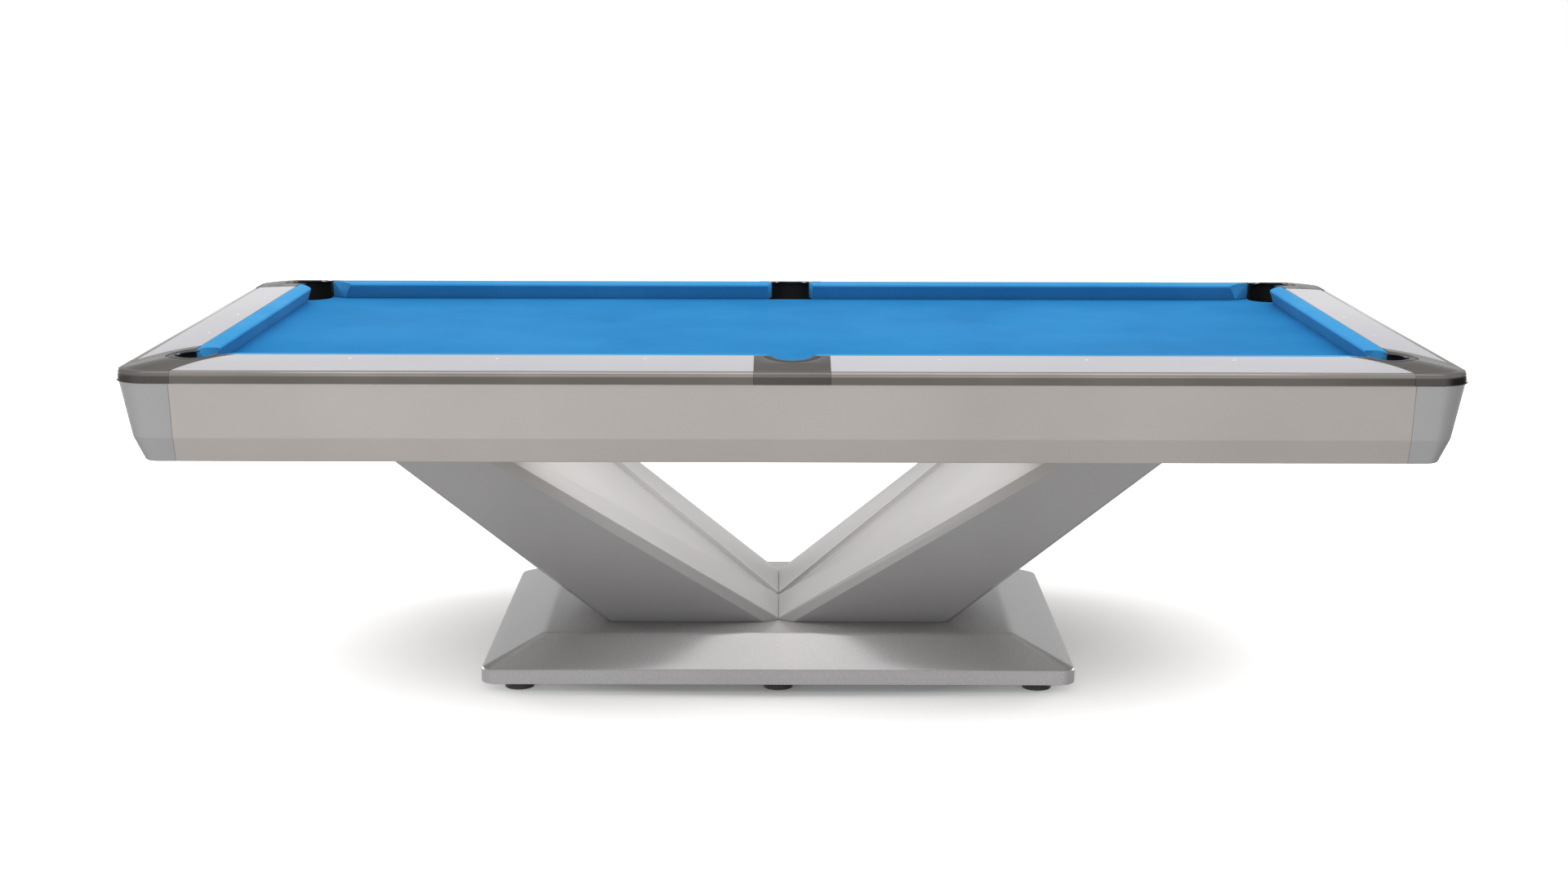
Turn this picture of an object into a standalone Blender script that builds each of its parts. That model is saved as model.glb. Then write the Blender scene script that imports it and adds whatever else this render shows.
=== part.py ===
# Nine-foot pool table: a V-shaped pedestal on a flared plinth carries a timber frame, three slates,
# six rails with cushions, metal corner and side castings, drop pockets and a creased apron.
#
# Frame: origin on the floor under the middle of the table top, +X along the table, +Y across it
# (the front is -Y), +Z up. Metres. Most sizes of the top are given as an offset outwards from the
# cushion noses, so that long sides and ends share one section.

import bpy
import bmesh
import math
from mathutils import Vector

# Driving dimensions
GAP = 0.0003                    # clearance between pieces that touch

PLAY_X = 1.270                  # half the playing length, nose to nose
PLAY_Y = 0.635                  # half the playing width
BED_Z = 0.7692                  # top of the bed cloth
CLOTH_THICK = 0.0009
SLATE_THICK = 0.030
SLATE_OVERHANG = 0.110          # slate beyond the nose line
SLATE_JOINT_X = 0.460           # the joints of the three-piece slate

CUSHION_WIDTH = 0.040           # nose to the edge of the rail top
NOSE_Z = 0.8085
RAIL_INNER_Z = 0.8130           # rail top beside the cushion
RAIL_SLOPE = 0.07               # fall of the rail top at its inner edge
RAIL_CURVE = 0.6                # extra fall, per metre squared
RAIL_WIDTH_END = 0.159          # outer edge of the laminate
RAIL_BOTTOM_Z = BED_Z + GAP
RAIL_STATIONS = (0.060, 0.090, 0.125)

NOSE_ROUND_R = 0.012            # upper round of the metal edge
EDGE_FILLET_R = 0.0035          # lower round of the metal edge
EDGE_OUT = 0.178                # widest offset of trims and castings
EDGE_ROUND_Z = 0.784            # where the upper round meets the upright face
EDGE_BOTTOM_Z = 0.7700
CORNER_R = 0.072                # corner radius in plan at the widest offset

CORNER_NOSE_CUT = 0.088         # cushion nose stops this far short of the corner
CORNER_FACING_RUN = 1.28        # facing's run along the cushion per unit of width
SIDE_NOSE_X = 0.060             # half the side pocket's mouth
SIDE_FACING_RUN = -0.25

POCKET_K = 0.027                # corner pocket centre beyond the nose corner, each way
POCKET_R = 0.062                # outside of the liners
SIDE_POCKET_K = 0.038
SIDE_POCKET_FRONT = 0.0305      # the side liner is cut straight this far before its centre
LINER_WALL = 0.003
LINER_FLANGE_R = 0.043          # hole inside the liner's flange
LINER_BOTTOM_Z = 0.652
LINER_FLANGE_Z = 0.8000         # underside of the flange
LINER_DROP = 0.0012             # flange below the casting's surface
CASTING_CLEAR = 0.0005          # round the liner
SLATE_CLEAR = 0.0015            # slate cut round the liner
CORNER_MOUTH = -0.0318          # the corner liner is open on the field side of a line this far past centre

CORNER_SEAM_X = 1.319           # trim meets corner casting on the long side
CORNER_SEAM_Y = 0.648           # and on the end
SIDE_CASTING_HALF = 0.082
HORN_LONG_START = 0.065         # the casting's horn begins this far before the nose corner
HORN_LONG_BEND = (0.004, 0.077) # control point of its edge: distance before the corner, offset
HORN_END_START = 0.090
HORN_END_BEND = (0.0615, 0.1005)
CUT_LOW_Z = 0.70                # cutters through the rails and castings
CUT_HIGH_Z = 0.90
CUT_MARGIN = 0.02
MOUTH_HALF = 0.12               # block that opens a liner towards the field
MOUTH_BACK = 0.2

APRON_TOP = (0.172, RAIL_BOTTOM_Z - GAP, 0.066)      # offset, height, corner radius in plan
APRON_CREASE = (0.148, 0.647, 0.046)
APRON_FOOT = (0.124, 0.592, 0.030)
APRON_THICK = 0.016
APRON_SEAM_X = 1.323
APRON_SEAM_Y = 0.688

FRAME_HALF_X = 1.215
FRAME_HALF_Y = 0.590
FRAME_BEAM = 0.060
LEG_BEAM_X = 0.855              # middle of the wide beam over each leg
LEG_BEAM_WIDTH = 0.240
JOINT_BEAM_WIDTH = 0.080
FRAME_BOTTOM_Z = 0.638

PEDESTAL_X = -0.0293            # the pedestal stands a little left of the top's middle
PLINTH_HALF_X = 0.6837
PLINTH_HALF_Y = 0.4957
PLINTH_BOTTOM_Z = 0.0215
PLINTH_RIM_Z = 0.0563
PLINTH_TOP_Z = 0.1105
PLINTH_INSET_X = 0.1337         # rim edge to the flat top
PLINTH_INSET_Y = 0.1277
PLINTH_CORNER_R = 0.036
PLINTH_EDGE_ROUND = 0.002       # round-off of the rim's edges
PLINTH_TOP_R = 0.011            # corner radius of the flat top
PLINTH_TOP_SOFT = (0.005, 0.0012)   # step before the flat top: outwards, down
PLATE_INSET = 0.020
PLATE_THICK = 0.006

LEG_VERTEX_Z = 0.116            # height of the rib tops at the seam
LEG_SLOPE = 0.7036              # rise of the leg's top face
LEG_RIB_Y = 0.2402              # outer edge of a rib at the seam
LEG_SPLAY = 0.3992              # outward run of that edge per metre of X
LEG_FOOT_Y = 0.2628             # front face at the plinth
LEG_LEAN = 0.567                # outward lean of the front face
LEG_FACE_START_X = 0.0344       # upper edge of the front face at the plinth
LEG_BACK_X = 0.4077             # lower edge of the front face at the plinth
LEG_BACK_SLOPE = 0.944          # rise of the leg's underside
LEG_EDGE_CHAMFER = 0.014
LEG_SEAM_HALF = 0.0006
LEG_WALL = 0.018
VALLEY_HALF = 0.0148            # half width of the recess at the seam
VALLEY_SPLAY = 0.568
VALLEY_DEPTH = 0.0145
VALLEY_SPAN = (-0.02, 0.85)     # the cutter's ends along X, from the seam

FOOT_SPACING_X = 0.5995
FOOT_Y = 0.4314
PAD_R = 0.034
PAD_HEIGHT = 0.0207
PAD_SOCKET_R = 0.014
PAD_SOCKET_Z = 0.0090
STUD_R = 0.008
STUD_HEX_R = 0.0120
STUD_HEX_TOP_Z = 0.0190
STUD_TOP_Z = 0.066
STUD_TIP = 0.002                # chamfer at the top of the thread
BORE_TOP_Z = 0.071
BORE_R = 0.0095
PLATE_BORE_R = 0.0088

ROUND_STEPS = 24                # sides of a full circle
CORNER_STEPS = 8                # steps of a quarter circle

CORNERS = {"front_left": (-1, -1), "front_right": (1, -1), "back_left": (-1, 1), "back_right": (1, 1)}
LONG_SIDES = {"front": -1, "back": 1}
ENDS = {"left": -1, "right": 1}


# Scene and materials
def clear_scene():
    for obj in list(bpy.data.objects):
        bpy.data.objects.remove(obj, do_unlink=True)


def make_material(name, color, roughness, metallic=0.0):
    mat = bpy.data.materials.new(name)
    mat.use_nodes = True
    shader = mat.node_tree.nodes["Principled BSDF"]
    shader.inputs["Base Color"].default_value = (*color, 1.0)
    shader.inputs["Roughness"].default_value = roughness
    shader.inputs["Metallic"].default_value = metallic
    return mat


def make_materials():
    return {
        "lacquer": make_material("lacquer", (0.42, 0.42, 0.42), 0.4, 0.3),
        "laminate": make_material("laminate", (0.62, 0.62, 0.66), 0.35),
        "apron": make_material("apron", (0.46, 0.44, 0.42), 0.35, 0.4),
        "metal": make_material("metal", (0.30, 0.28, 0.27), 0.3, 1.0),
        "cloth": make_material("cloth", (0.04, 0.27, 0.58), 0.9),
        "slate": make_material("slate", (0.10, 0.11, 0.12), 0.7),
        "timber": make_material("timber", (0.45, 0.30, 0.16), 0.6),
        "liner": make_material("liner", (0.01, 0.01, 0.01), 0.5),
        "steel": make_material("steel", (0.45, 0.45, 0.46), 0.35, 1.0),
        "rubber": make_material("rubber", (0.05, 0.05, 0.05), 0.7),
    }


# Mesh tools
def add_object(name, verts, faces, mat):
    mesh = bpy.data.meshes.new(name)
    bm = bmesh.new()
    made = [bm.verts.new(v) for v in verts]
    for face in faces:
        bm.faces.new([made[i] for i in face])
    bmesh.ops.recalc_face_normals(bm, faces=bm.faces)
    bm.to_mesh(mesh)
    bm.free()
    obj = bpy.data.objects.new(name, mesh)
    bpy.context.scene.collection.objects.link(obj)
    if mat is not None:
        mesh.materials.append(mat)
    return obj


def loft(name, rings, mat, closed=False):
    """A skin through rings of equal length, capped at both ends, or closed back on itself."""
    size = len(rings[0])
    verts = [v for ring in rings for v in ring]
    faces = []
    spans = len(rings) if closed else len(rings) - 1
    for i in range(spans):
        a = i * size
        b = ((i + 1) % len(rings)) * size
        for j in range(size):
            k = (j + 1) % size
            faces.append((a + j, a + k, b + k, b + j))
    if not closed:
        faces.append(tuple(range(size)))
        faces.append(tuple(range(len(verts) - size, len(verts))))
    return add_object(name, verts, faces, mat)


def prism(name, outline, low, high, mat):
    rings = [[(x, y, z) for x, y in outline] for z in (low, high)]
    return loft(name, rings, mat)


def box_outline(x0, x1, y0, y1):
    return [(x0, y0), (x1, y0), (x1, y1), (x0, y1)]


def arc(cx, cy, radius, start, end, steps):
    """Points on an arc, angles in degrees."""
    points = []
    for i in range(steps + 1):
        a = math.radians(start + (end - start) * i / steps)
        points.append((cx + radius * math.cos(a), cy + radius * math.sin(a)))
    return points


def circle(cx, cy, radius, steps=ROUND_STEPS):
    return arc(cx, cy, radius, 0.0, 360.0, steps)[:-1]


def rounded_rect(half_x, half_y, radius, cx=0.0):
    outline = []
    for sx, sy, start in ((1, 1, 0), (-1, 1, 90), (-1, -1, 180), (1, -1, 270)):
        outline += arc(cx + sx * (half_x - radius), sy * (half_y - radius), radius,
                       start, start + 90, CORNER_STEPS)
    return outline


def lathe(name, profile, cx, cy, mat, steps=ROUND_STEPS):
    """Turns (radius, height) points about the upright line at cx, cy. Both ends lie on that line."""
    verts = [(cx, cy, profile[0][1])]
    for i in range(steps):
        a = 2 * math.pi * i / steps
        verts += [(cx + r * math.cos(a), cy + r * math.sin(a), z) for r, z in profile[1:-1]]
    verts.append((cx, cy, profile[-1][1]))
    size = len(profile) - 2
    last = len(verts) - 1
    faces = []
    for i in range(steps):
        a = 1 + i * size
        b = 1 + (i + 1) % steps * size
        faces.append((0, a, b))
        faces.append((last, b + size - 1, a + size - 1))
        faces += [(a + j, a + j + 1, b + j + 1, b + j) for j in range(size - 1)]
    return add_object(name, verts, faces, mat)


def as_cutter(obj):
    obj.hide_render = True
    obj.display_type = 'WIRE'
    return obj


def boolean(obj, cutter, operation='DIFFERENCE'):
    mod = obj.modifiers.new(operation.lower(), 'BOOLEAN')
    mod.operation = operation
    mod.solver = 'EXACT'
    mod.object = cutter


def merge_cutters(name, outlines, low, high):
    """Several upright prisms that don't touch, as one cutter."""
    verts = []
    faces = []
    for outline in outlines:
        base = len(verts)
        n = len(outline)
        verts += [(x, y, low) for x, y in outline] + [(x, y, high) for x, y in outline]
        faces.append(tuple(base + i for i in range(n)))
        faces.append(tuple(base + n + i for i in range(n)))
        faces += [(base + i, base + (i + 1) % n, base + n + (i + 1) % n, base + n + i) for i in range(n)]
    return as_cutter(add_object(name, verts, faces, None))


def flip(points, sx, sy):
    return [(sx * x, sy * y) for x, y in points]


# Shared sections
def rail_height(offset):
    run = offset - CUSHION_WIDTH
    return RAIL_INNER_Z - RAIL_SLOPE * run - RAIL_CURVE * run * run


def edge_profile():
    """The metal edge from its lower corner up and round to the laminate, as (offset, height)."""
    low = arc(EDGE_OUT - EDGE_FILLET_R, EDGE_BOTTOM_Z + EDGE_FILLET_R, EDGE_FILLET_R, -90, 0, 2)
    high = arc(EDGE_OUT - NOSE_ROUND_R, EDGE_ROUND_Z, NOSE_ROUND_R, 0, 90, 4)
    return low + high + [(RAIL_WIDTH_END, rail_height(RAIL_WIDTH_END))]


def rail_stations():
    return [(o, rail_height(o)) for o in (*RAIL_STATIONS, RAIL_WIDTH_END)]


def top_shell(name, drop=0.0, bottom=None):
    """The whole table top as one pillow: castings and liners are parts of it."""
    sections = edge_profile() + rail_stations()[-2::-1] + [(CUSHION_WIDTH, RAIL_INNER_Z)]
    rings = []
    if bottom is not None:
        sections = [(EDGE_OUT, bottom)] + sections[2:]
    for offset, z in sections:
        radius = max(CORNER_R - (EDGE_OUT - offset), 0.25 * offset)
        height = z if z == bottom else z - drop
        rings.append([(x, y, height) for x, y in
                      rounded_rect(PLAY_X + offset, PLAY_Y + offset, radius)])
    return as_cutter(loft(name, rings, None))


def quad_bezier(p0, p1, p2, steps=6):
    points = []
    for i in range(steps + 1):
        t = i / steps
        points.append(tuple((1 - t) ** 2 * a + 2 * t * (1 - t) * b + t * t * c
                            for a, b, c in zip(p0, p1, p2)))
    return points


def corner_footprint(grow=0.0):
    """Plan of a corner casting at +X +Y. Its two horns run back along the rails."""
    seam_x = CORNER_SEAM_X - PLAY_X
    seam_y = CORNER_SEAM_Y - PLAY_Y
    inner = CUSHION_WIDTH + GAP
    far = EDGE_OUT + CUT_MARGIN
    long_side = quad_bezier((HORN_LONG_START, inner), HORN_LONG_BEND, (-seam_x, RAIL_WIDTH_END))
    end_side = quad_bezier((HORN_END_START, inner), HORN_END_BEND, (-seam_y, RAIL_WIDTH_END))
    outline = [(PLAY_X - a - grow, PLAY_Y + o) for a, o in long_side]
    outline += [(CORNER_SEAM_X - grow, PLAY_Y + far), (PLAY_X + far, PLAY_Y + far),
                (PLAY_X + far, CORNER_SEAM_Y - grow)]
    outline += [(PLAY_X + o, PLAY_Y - a - grow) for a, o in reversed(end_side)]
    back = inner - 20 * grow
    if grow > 0:
        outline.append((PLAY_X + back, outline[-1][1]))
    outline.append((PLAY_X + back, PLAY_Y + back))
    if grow > 0:
        outline.append((outline[0][0], PLAY_Y + back))
    return outline


def side_footprint(grow=0.0):
    half = SIDE_CASTING_HALF + grow
    return box_outline(-half, half, PLAY_Y + CUSHION_WIDTH + GAP - grow, PLAY_Y + EDGE_OUT + CUT_MARGIN)


def along_x(name, profile, x_of, side, mat):
    """A bar along X. x_of gives the two ends for an offset, so facings can slant."""
    rings = [[(x_of(o)[end], side * (PLAY_Y + o), z) for o, z in profile] for end in (0, 1)]
    return loft(name, rings, mat)


def along_y(name, profile, half_y_of, side, mat):
    rings = [[(side * (PLAY_X + o), s * half_y_of(o), z) for o, z in profile] for s in (-1, 1)]
    return loft(name, rings, mat)


# Rails, cushions and trims
def rail_section():
    outer = RAIL_WIDTH_END - GAP
    inner = CUSHION_WIDTH + GAP
    top = [(inner, RAIL_INNER_Z - GAP)] + [(o, z) for o, z in rail_stations()[:-1]]
    return top + [(outer, rail_height(outer)), (outer, RAIL_BOTTOM_Z), (inner, RAIL_BOTTOM_Z)]


def cushion_section():
    w = CUSHION_WIDTH
    return [(0.0, NOSE_Z - 0.0025), (0.0015, NOSE_Z), (0.010, NOSE_Z + 0.002), (w, RAIL_INNER_Z),
            (w, RAIL_BOTTOM_Z), (0.013, RAIL_BOTTOM_Z), (0.008, RAIL_BOTTOM_Z + 0.006)]


def trim_section():
    return edge_profile() + [(RAIL_WIDTH_END, EDGE_BOTTOM_Z)]


def build_long_side(label, side, mats, cutters):
    for end_label, end in ENDS.items():
        name = label + "_" + end_label
        far = CORNER_SEAM_X + 0.01
        rail = along_x("rail_" + name, rail_section(), lambda o: (0.0, end * far), side, mats["laminate"])
        boolean(rail, cutters["corner_rail_" + name])
        boolean(rail, cutters["side_rail_" + label])

        def cushion_ends(o):
            return (end * (SIDE_NOSE_X + SIDE_FACING_RUN * o),
                    end * (PLAY_X - CORNER_NOSE_CUT + CORNER_FACING_RUN * o))

        along_x("cushion_" + name, cushion_section(), cushion_ends, side, mats["cloth"])
        trim_ends = (end * (SIDE_CASTING_HALF + GAP), end * (CORNER_SEAM_X - GAP))
        along_x("trim_" + name, trim_section(), lambda o: trim_ends, side, mats["metal"])


def build_end(label, side, mats, cutters):
    rail = along_y("rail_" + label, rail_section(), lambda o: CORNER_SEAM_Y + 0.01, side, mats["laminate"])
    boolean(rail, cutters["corner_rail_front_" + label])
    boolean(rail, cutters["corner_rail_back_" + label])

    def cushion_half(o):
        return PLAY_Y - CORNER_NOSE_CUT + CORNER_FACING_RUN * o

    along_y("cushion_" + label, cushion_section(), cushion_half, side, mats["cloth"])
    along_y("trim_" + label, trim_section(), lambda o: CORNER_SEAM_Y - GAP, side, mats["metal"])


# Castings and pocket liners
def pocket_centre(sx, sy):
    return (sx * (PLAY_X + POCKET_K), sy * (PLAY_Y + POCKET_K))


def corner_ring(sx, sy):
    """Gives the plan of a corner pocket at any radius."""
    cx, cy = pocket_centre(sx, sy)
    return lambda radius: circle(cx, cy, radius)


def side_ring(side):
    """Gives the plan of a side pocket at any radius: a circle cut straight towards the field."""
    def outline(radius):
        front = -SIDE_POCKET_FRONT - (radius - POCKET_R)
        centre = PLAY_Y + SIDE_POCKET_K
        return [(x, side * (centre + max(y, front))) for x, y in circle(0.0, 0.0, radius)]
    return outline


def build_casting(name, shell, outline, ring, mat):
    """The part of the table top inside the outline, with the pocket bored through it."""
    obj = bpy.data.objects.new(name, shell.data.copy())
    bpy.context.scene.collection.objects.link(obj)
    obj.data.materials.append(mat)
    plan = as_cutter(prism("plan_" + name, outline, CUT_LOW_Z, CUT_HIGH_Z, None))
    round_plan = ring(POCKET_R + CASTING_CLEAR)
    bore = as_cutter(prism("bore_" + name, round_plan, CUT_LOW_Z - 0.01, CUT_HIGH_Z + 0.01, None))
    boolean(obj, plan, 'INTERSECT')
    boolean(obj, bore)


def liner_profile():
    inner = POCKET_R - LINER_WALL
    foot = LINER_BOTTOM_Z
    above = RAIL_INNER_Z + 0.01
    return [(POCKET_R - 0.008, foot), (POCKET_R, foot + 0.008), (POCKET_R, above),
            (LINER_FLANGE_R, above), (LINER_FLANGE_R, LINER_FLANGE_Z), (inner, LINER_FLANGE_Z),
            (inner, foot + 0.010), (inner - 0.007, foot + LINER_WALL)]


def mouth_outline(centre, direction, reach):
    """Plan of the liner's open front: everything on the field side of a line across the pocket."""
    out = Vector(direction).normalized()
    across = Vector((-out.y, out.x))
    middle = Vector(centre)
    near = middle + out * reach
    far = middle - out * MOUTH_BACK
    wide = across * MOUTH_HALF
    return [tuple(near + wide), tuple(near - wide), tuple(far - wide), tuple(far + wide)]


def build_liner(name, cap, ring, centre, direction, reach, mat):
    rings = [[(x, y, z) for x, y in ring(radius)] for radius, z in liner_profile()]
    liner = loft(name, rings, mat)
    mouth = prism("mouth_" + name, mouth_outline(centre, direction, reach),
                  BED_Z - 0.002, RAIL_INNER_Z + 0.05, None)
    boolean(liner, cap, 'INTERSECT')
    boolean(liner, as_cutter(mouth))


def build_pockets(mats):
    shell = top_shell("shell_castings")
    cap = top_shell("shell_liners", LINER_DROP, LINER_BOTTOM_Z - 0.05)
    for label, (sx, sy) in CORNERS.items():
        centre = pocket_centre(sx, sy)
        ring = corner_ring(sx, sy)
        build_casting("casting_" + label, shell, flip(corner_footprint(), sx, sy), ring, mats["metal"])
        build_liner("liner_" + label, cap, ring, centre, (sx, sy), CORNER_MOUTH, mats["liner"])
    for label, side in LONG_SIDES.items():
        centre = (0.0, side * (PLAY_Y + SIDE_POCKET_K))
        ring = side_ring(side)
        build_casting("casting_side_" + label, shell, flip(side_footprint(), 1, side), ring, mats["metal"])
        reach = CUSHION_WIDTH + CASTING_CLEAR - SIDE_POCKET_K
        build_liner("liner_side_" + label, cap, ring, centre, (0, side), reach, mats["liner"])


def rail_cutters():
    cutters = {}
    for label, (sx, sy) in CORNERS.items():
        name = "corner_rail_" + label
        outline = flip(corner_footprint(GAP), sx, sy)
        cutters[name] = as_cutter(prism(name, outline, CUT_LOW_Z, CUT_HIGH_Z, None))
    for label, side in LONG_SIDES.items():
        name = "side_rail_" + label
        outline = flip(side_footprint(GAP), 1, side)
        cutters[name] = as_cutter(prism(name, outline, CUT_LOW_Z, CUT_HIGH_Z, None))
    return cutters


# Slates and bed cloth
def corner_cut(radius):
    """The bed's edge round the pocket at +X +Y, from the end towards the long side."""
    cx, cy = pocket_centre(1, 1)
    edge_x = PLAY_X + SLATE_OVERHANG
    edge_y = PLAY_Y + SLATE_OVERHANG
    return [(edge_x, cy - radius)] + arc(cx, cy, radius, 270, 180, CORNER_STEPS) + [(cx - radius, edge_y)]


def side_cut(radius):
    """The bed's edge round the pocket in the middle of the +Y side, from +X to -X."""
    cy = PLAY_Y + SIDE_POCKET_K
    front = cy - SIDE_POCKET_FRONT - (radius - POCKET_R)
    edge_y = PLAY_Y + SLATE_OVERHANG
    turn = [(x, max(y, front)) for x, y in arc(0.0, cy, radius, 360, 180, 2 * CORNER_STEPS)]
    return [(radius, edge_y)] + turn + [(-radius, edge_y)]


def bed_outline(grow=0.0):
    corner = corner_cut(POCKET_R + SLATE_CLEAR + grow)
    side = side_cut(POCKET_R + SLATE_CLEAR + grow)
    upper = corner + side + flip(corner[::-1], -1, 1)
    return upper + flip(upper, -1, -1)


def build_slates(mats):
    top = BED_Z - CLOTH_THICK - GAP
    edge_y = PLAY_Y + SLATE_OVERHANG
    corner = corner_cut(POCKET_R + SLATE_CLEAR)
    side = side_cut(POCKET_R + SLATE_CLEAR)
    joint = SLATE_JOINT_X
    centre = [(joint - GAP, edge_y)] + side + [(-joint + GAP, edge_y)]
    centre += flip(centre, -1, -1)
    outer = corner + [(joint, edge_y), (joint, -edge_y)] + flip(corner[::-1], 1, -1)
    prism("slate_centre", centre, top - SLATE_THICK, top, mats["slate"])
    for label, side_x in ENDS.items():
        prism("slate_" + label, flip(outer, side_x, 1), top - SLATE_THICK, top, mats["slate"])
    prism("bed_cloth", bed_outline(0.0005), BED_Z - CLOTH_THICK, BED_Z, mats["cloth"])


# Apron
def apron_levels():
    return (APRON_TOP, APRON_CREASE, APRON_FOOT)


def apron_section():
    outer = [(o, z) for o, z, _ in apron_levels()]
    inner = [(o - APRON_THICK, z) for o, z, _ in reversed(apron_levels())]
    return outer + inner


def corner_path(offset, radius, inset=0.0):
    """From the long side's seam round the corner at +X +Y to the end's seam."""
    o = offset - inset
    r = radius - inset
    turn = arc(PLAY_X + o - r, PLAY_Y + o - r, r, 90, 0, CORNER_STEPS)
    return [(APRON_SEAM_X + GAP, PLAY_Y + o)] + turn + [(PLAY_X + o, APRON_SEAM_Y + GAP)]


def build_apron_corner(name, sx, sy, mat):
    rings = []
    for o, z, r in apron_levels():
        rings.append([(x, y, z) for x, y in flip(corner_path(o, r), sx, sy)])
    for o, z, r in reversed(apron_levels()):
        rings.append([(x, y, z) for x, y in flip(corner_path(o, r, APRON_THICK), sx, sy)])
    size = len(rings[0])
    verts = [v for ring in rings for v in ring]
    faces = []
    for i in range(len(rings)):
        a = i * size
        b = (i + 1) % len(rings) * size
        faces += [(a + j, a + j + 1, b + j + 1, b + j) for j in range(size - 1)]
    faces.append(tuple(i * size for i in range(len(rings))))
    faces.append(tuple(i * size + size - 1 for i in range(len(rings))))
    add_object(name, verts, faces, mat)


def build_aprons(mats):
    for label, side in LONG_SIDES.items():
        along_x("apron_" + label, apron_section(), lambda o: (-APRON_SEAM_X, APRON_SEAM_X), side,
                mats["apron"])
    for label, side in ENDS.items():
        along_y("apron_" + label, apron_section(), lambda o: APRON_SEAM_Y, side, mats["apron"])
    for label, (sx, sy) in CORNERS.items():
        build_apron_corner("apron_corner_" + label, sx, sy, mats["apron"])


# Cabinet frame
def frame_cross_beams():
    """Middle and width of each cross-beam: ends, slate joints, centre, and one over each leg."""
    beams = [(s * (FRAME_HALF_X - FRAME_BEAM / 2), FRAME_BEAM) for s in (-1, 1)]
    beams += [(s * SLATE_JOINT_X, JOINT_BEAM_WIDTH) for s in (-1, 1)]
    beams += [(0.0, FRAME_BEAM)]
    beams += [(PEDESTAL_X + s * LEG_BEAM_X, LEG_BEAM_WIDTH) for s in (-1, 1)]
    return sorted(beams)


def build_frame(mats):
    high = BED_Z - CLOTH_THICK - GAP - SLATE_THICK - GAP
    outline = box_outline(-FRAME_HALF_X, FRAME_HALF_X, -FRAME_HALF_Y, FRAME_HALF_Y)
    frame = prism("cabinet_frame", outline, FRAME_BOTTOM_Z, high, mats["timber"])
    half_y = FRAME_HALF_Y - FRAME_BEAM
    beams = frame_cross_beams()
    windows = []
    for (x0, w0), (x1, w1) in zip(beams[:-1], beams[1:]):
        windows.append(box_outline(x0 + w0 / 2, x1 - w1 / 2, -half_y, half_y))
    boolean(frame, merge_cutters("frame_windows", windows, FRAME_BOTTOM_Z - 0.01, high + 0.01))


# Pedestal legs
def cut_plane(bm, point, normal):
    """Keeps the side that the normal points away from, and closes the cut."""
    geom = bm.verts[:] + bm.edges[:] + bm.faces[:]
    cut = bmesh.ops.bisect_plane(bm, geom=geom, plane_co=point, plane_no=normal, clear_outer=True)
    rim = [g for g in cut["geom_cut"] if isinstance(g, bmesh.types.BMEdge)]
    if rim:
        bmesh.ops.contextual_create(bm, geom=rim)


def leg_planes(inset=0.0, top_inset=0.0):
    """The leg's faces as (point, outward normal), for the leg on the +X side, about the seam."""
    planes = []

    def add(point, normal, depth):
        n = Vector(normal).normalized()
        planes.append((Vector(point) - n * depth, n))

    add((0, 0, LEG_VERTEX_Z), (-LEG_SLOPE, 0, 1), top_inset)
    under = Vector((1, 0, -1 / LEG_BACK_SLOPE)).normalized()
    add((LEG_BACK_X, 0, PLINTH_TOP_Z), under, inset)
    along = Vector((1, LEG_SPLAY, LEG_SLOPE))
    for s in (-1, 1):
        mirror = Vector((1, s, 1))
        face = Vector((0, 1, -LEG_LEAN)).normalized()
        add((0, s * LEG_FOOT_Y, PLINTH_TOP_Z), face * mirror, inset)
        rib = Vector((0, LEG_RIB_Y, LEG_VERTEX_Z))
        foot = Vector((LEG_FACE_START_X, LEG_FOOT_Y, PLINTH_TOP_Z))
        shoulder = along.cross(foot - rib).normalized()
        add(rib * mirror, shoulder * mirror, inset)
        edge = Vector((LEG_BACK_X, LEG_FOOT_Y, PLINTH_TOP_Z))
        half_angle = math.acos(-face.dot(under)) / 2
        depth = LEG_EDGE_CHAMFER / 2 / math.tan(half_angle)
        add(edge * mirror, (face + under) * mirror, depth + inset)
    return planes


def leg_block(name, side, low, high, seam, planes, mat):
    bm = bmesh.new()
    bmesh.ops.create_cube(bm, size=2.0)
    middle = (low + high) / 2
    bmesh.ops.scale(bm, vec=(1.2, 1.0, (high - low) / 2), verts=bm.verts)
    bmesh.ops.translate(bm, vec=(0, 0, middle), verts=bm.verts)
    cut_plane(bm, (seam, 0, 0), (-1, 0, 0))
    for point, normal in planes:
        cut_plane(bm, point, normal)
    bmesh.ops.scale(bm, vec=(side, 1, 1), verts=bm.verts)
    bmesh.ops.translate(bm, vec=(PEDESTAL_X, 0, 0), verts=bm.verts)
    bmesh.ops.recalc_face_normals(bm, faces=bm.faces)
    mesh = bpy.data.meshes.new(name)
    bm.to_mesh(mesh)
    bm.free()
    obj = bpy.data.objects.new(name, mesh)
    bpy.context.scene.collection.objects.link(obj)
    if mat is not None:
        mesh.materials.append(mat)
    return obj


def valley_cutter(name, side):
    """The tapering recess between a leg's two ribs."""
    normal = Vector((-LEG_SLOPE, 0, 1)).normalized()
    rings = []
    for x in VALLEY_SPAN:
        half = VALLEY_HALF + VALLEY_SPLAY * x
        ring = []
        for s, depth in ((-1, -VALLEY_DEPTH), (1, -VALLEY_DEPTH), (1, 0.02), (-1, 0.02)):
            p = Vector((x, s * half, LEG_VERTEX_Z + LEG_SLOPE * x)) + normal * depth
            ring.append((PEDESTAL_X + side * p.x, p.y, p.z))
        rings.append(ring)
    return as_cutter(loft(name, rings, None))


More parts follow.
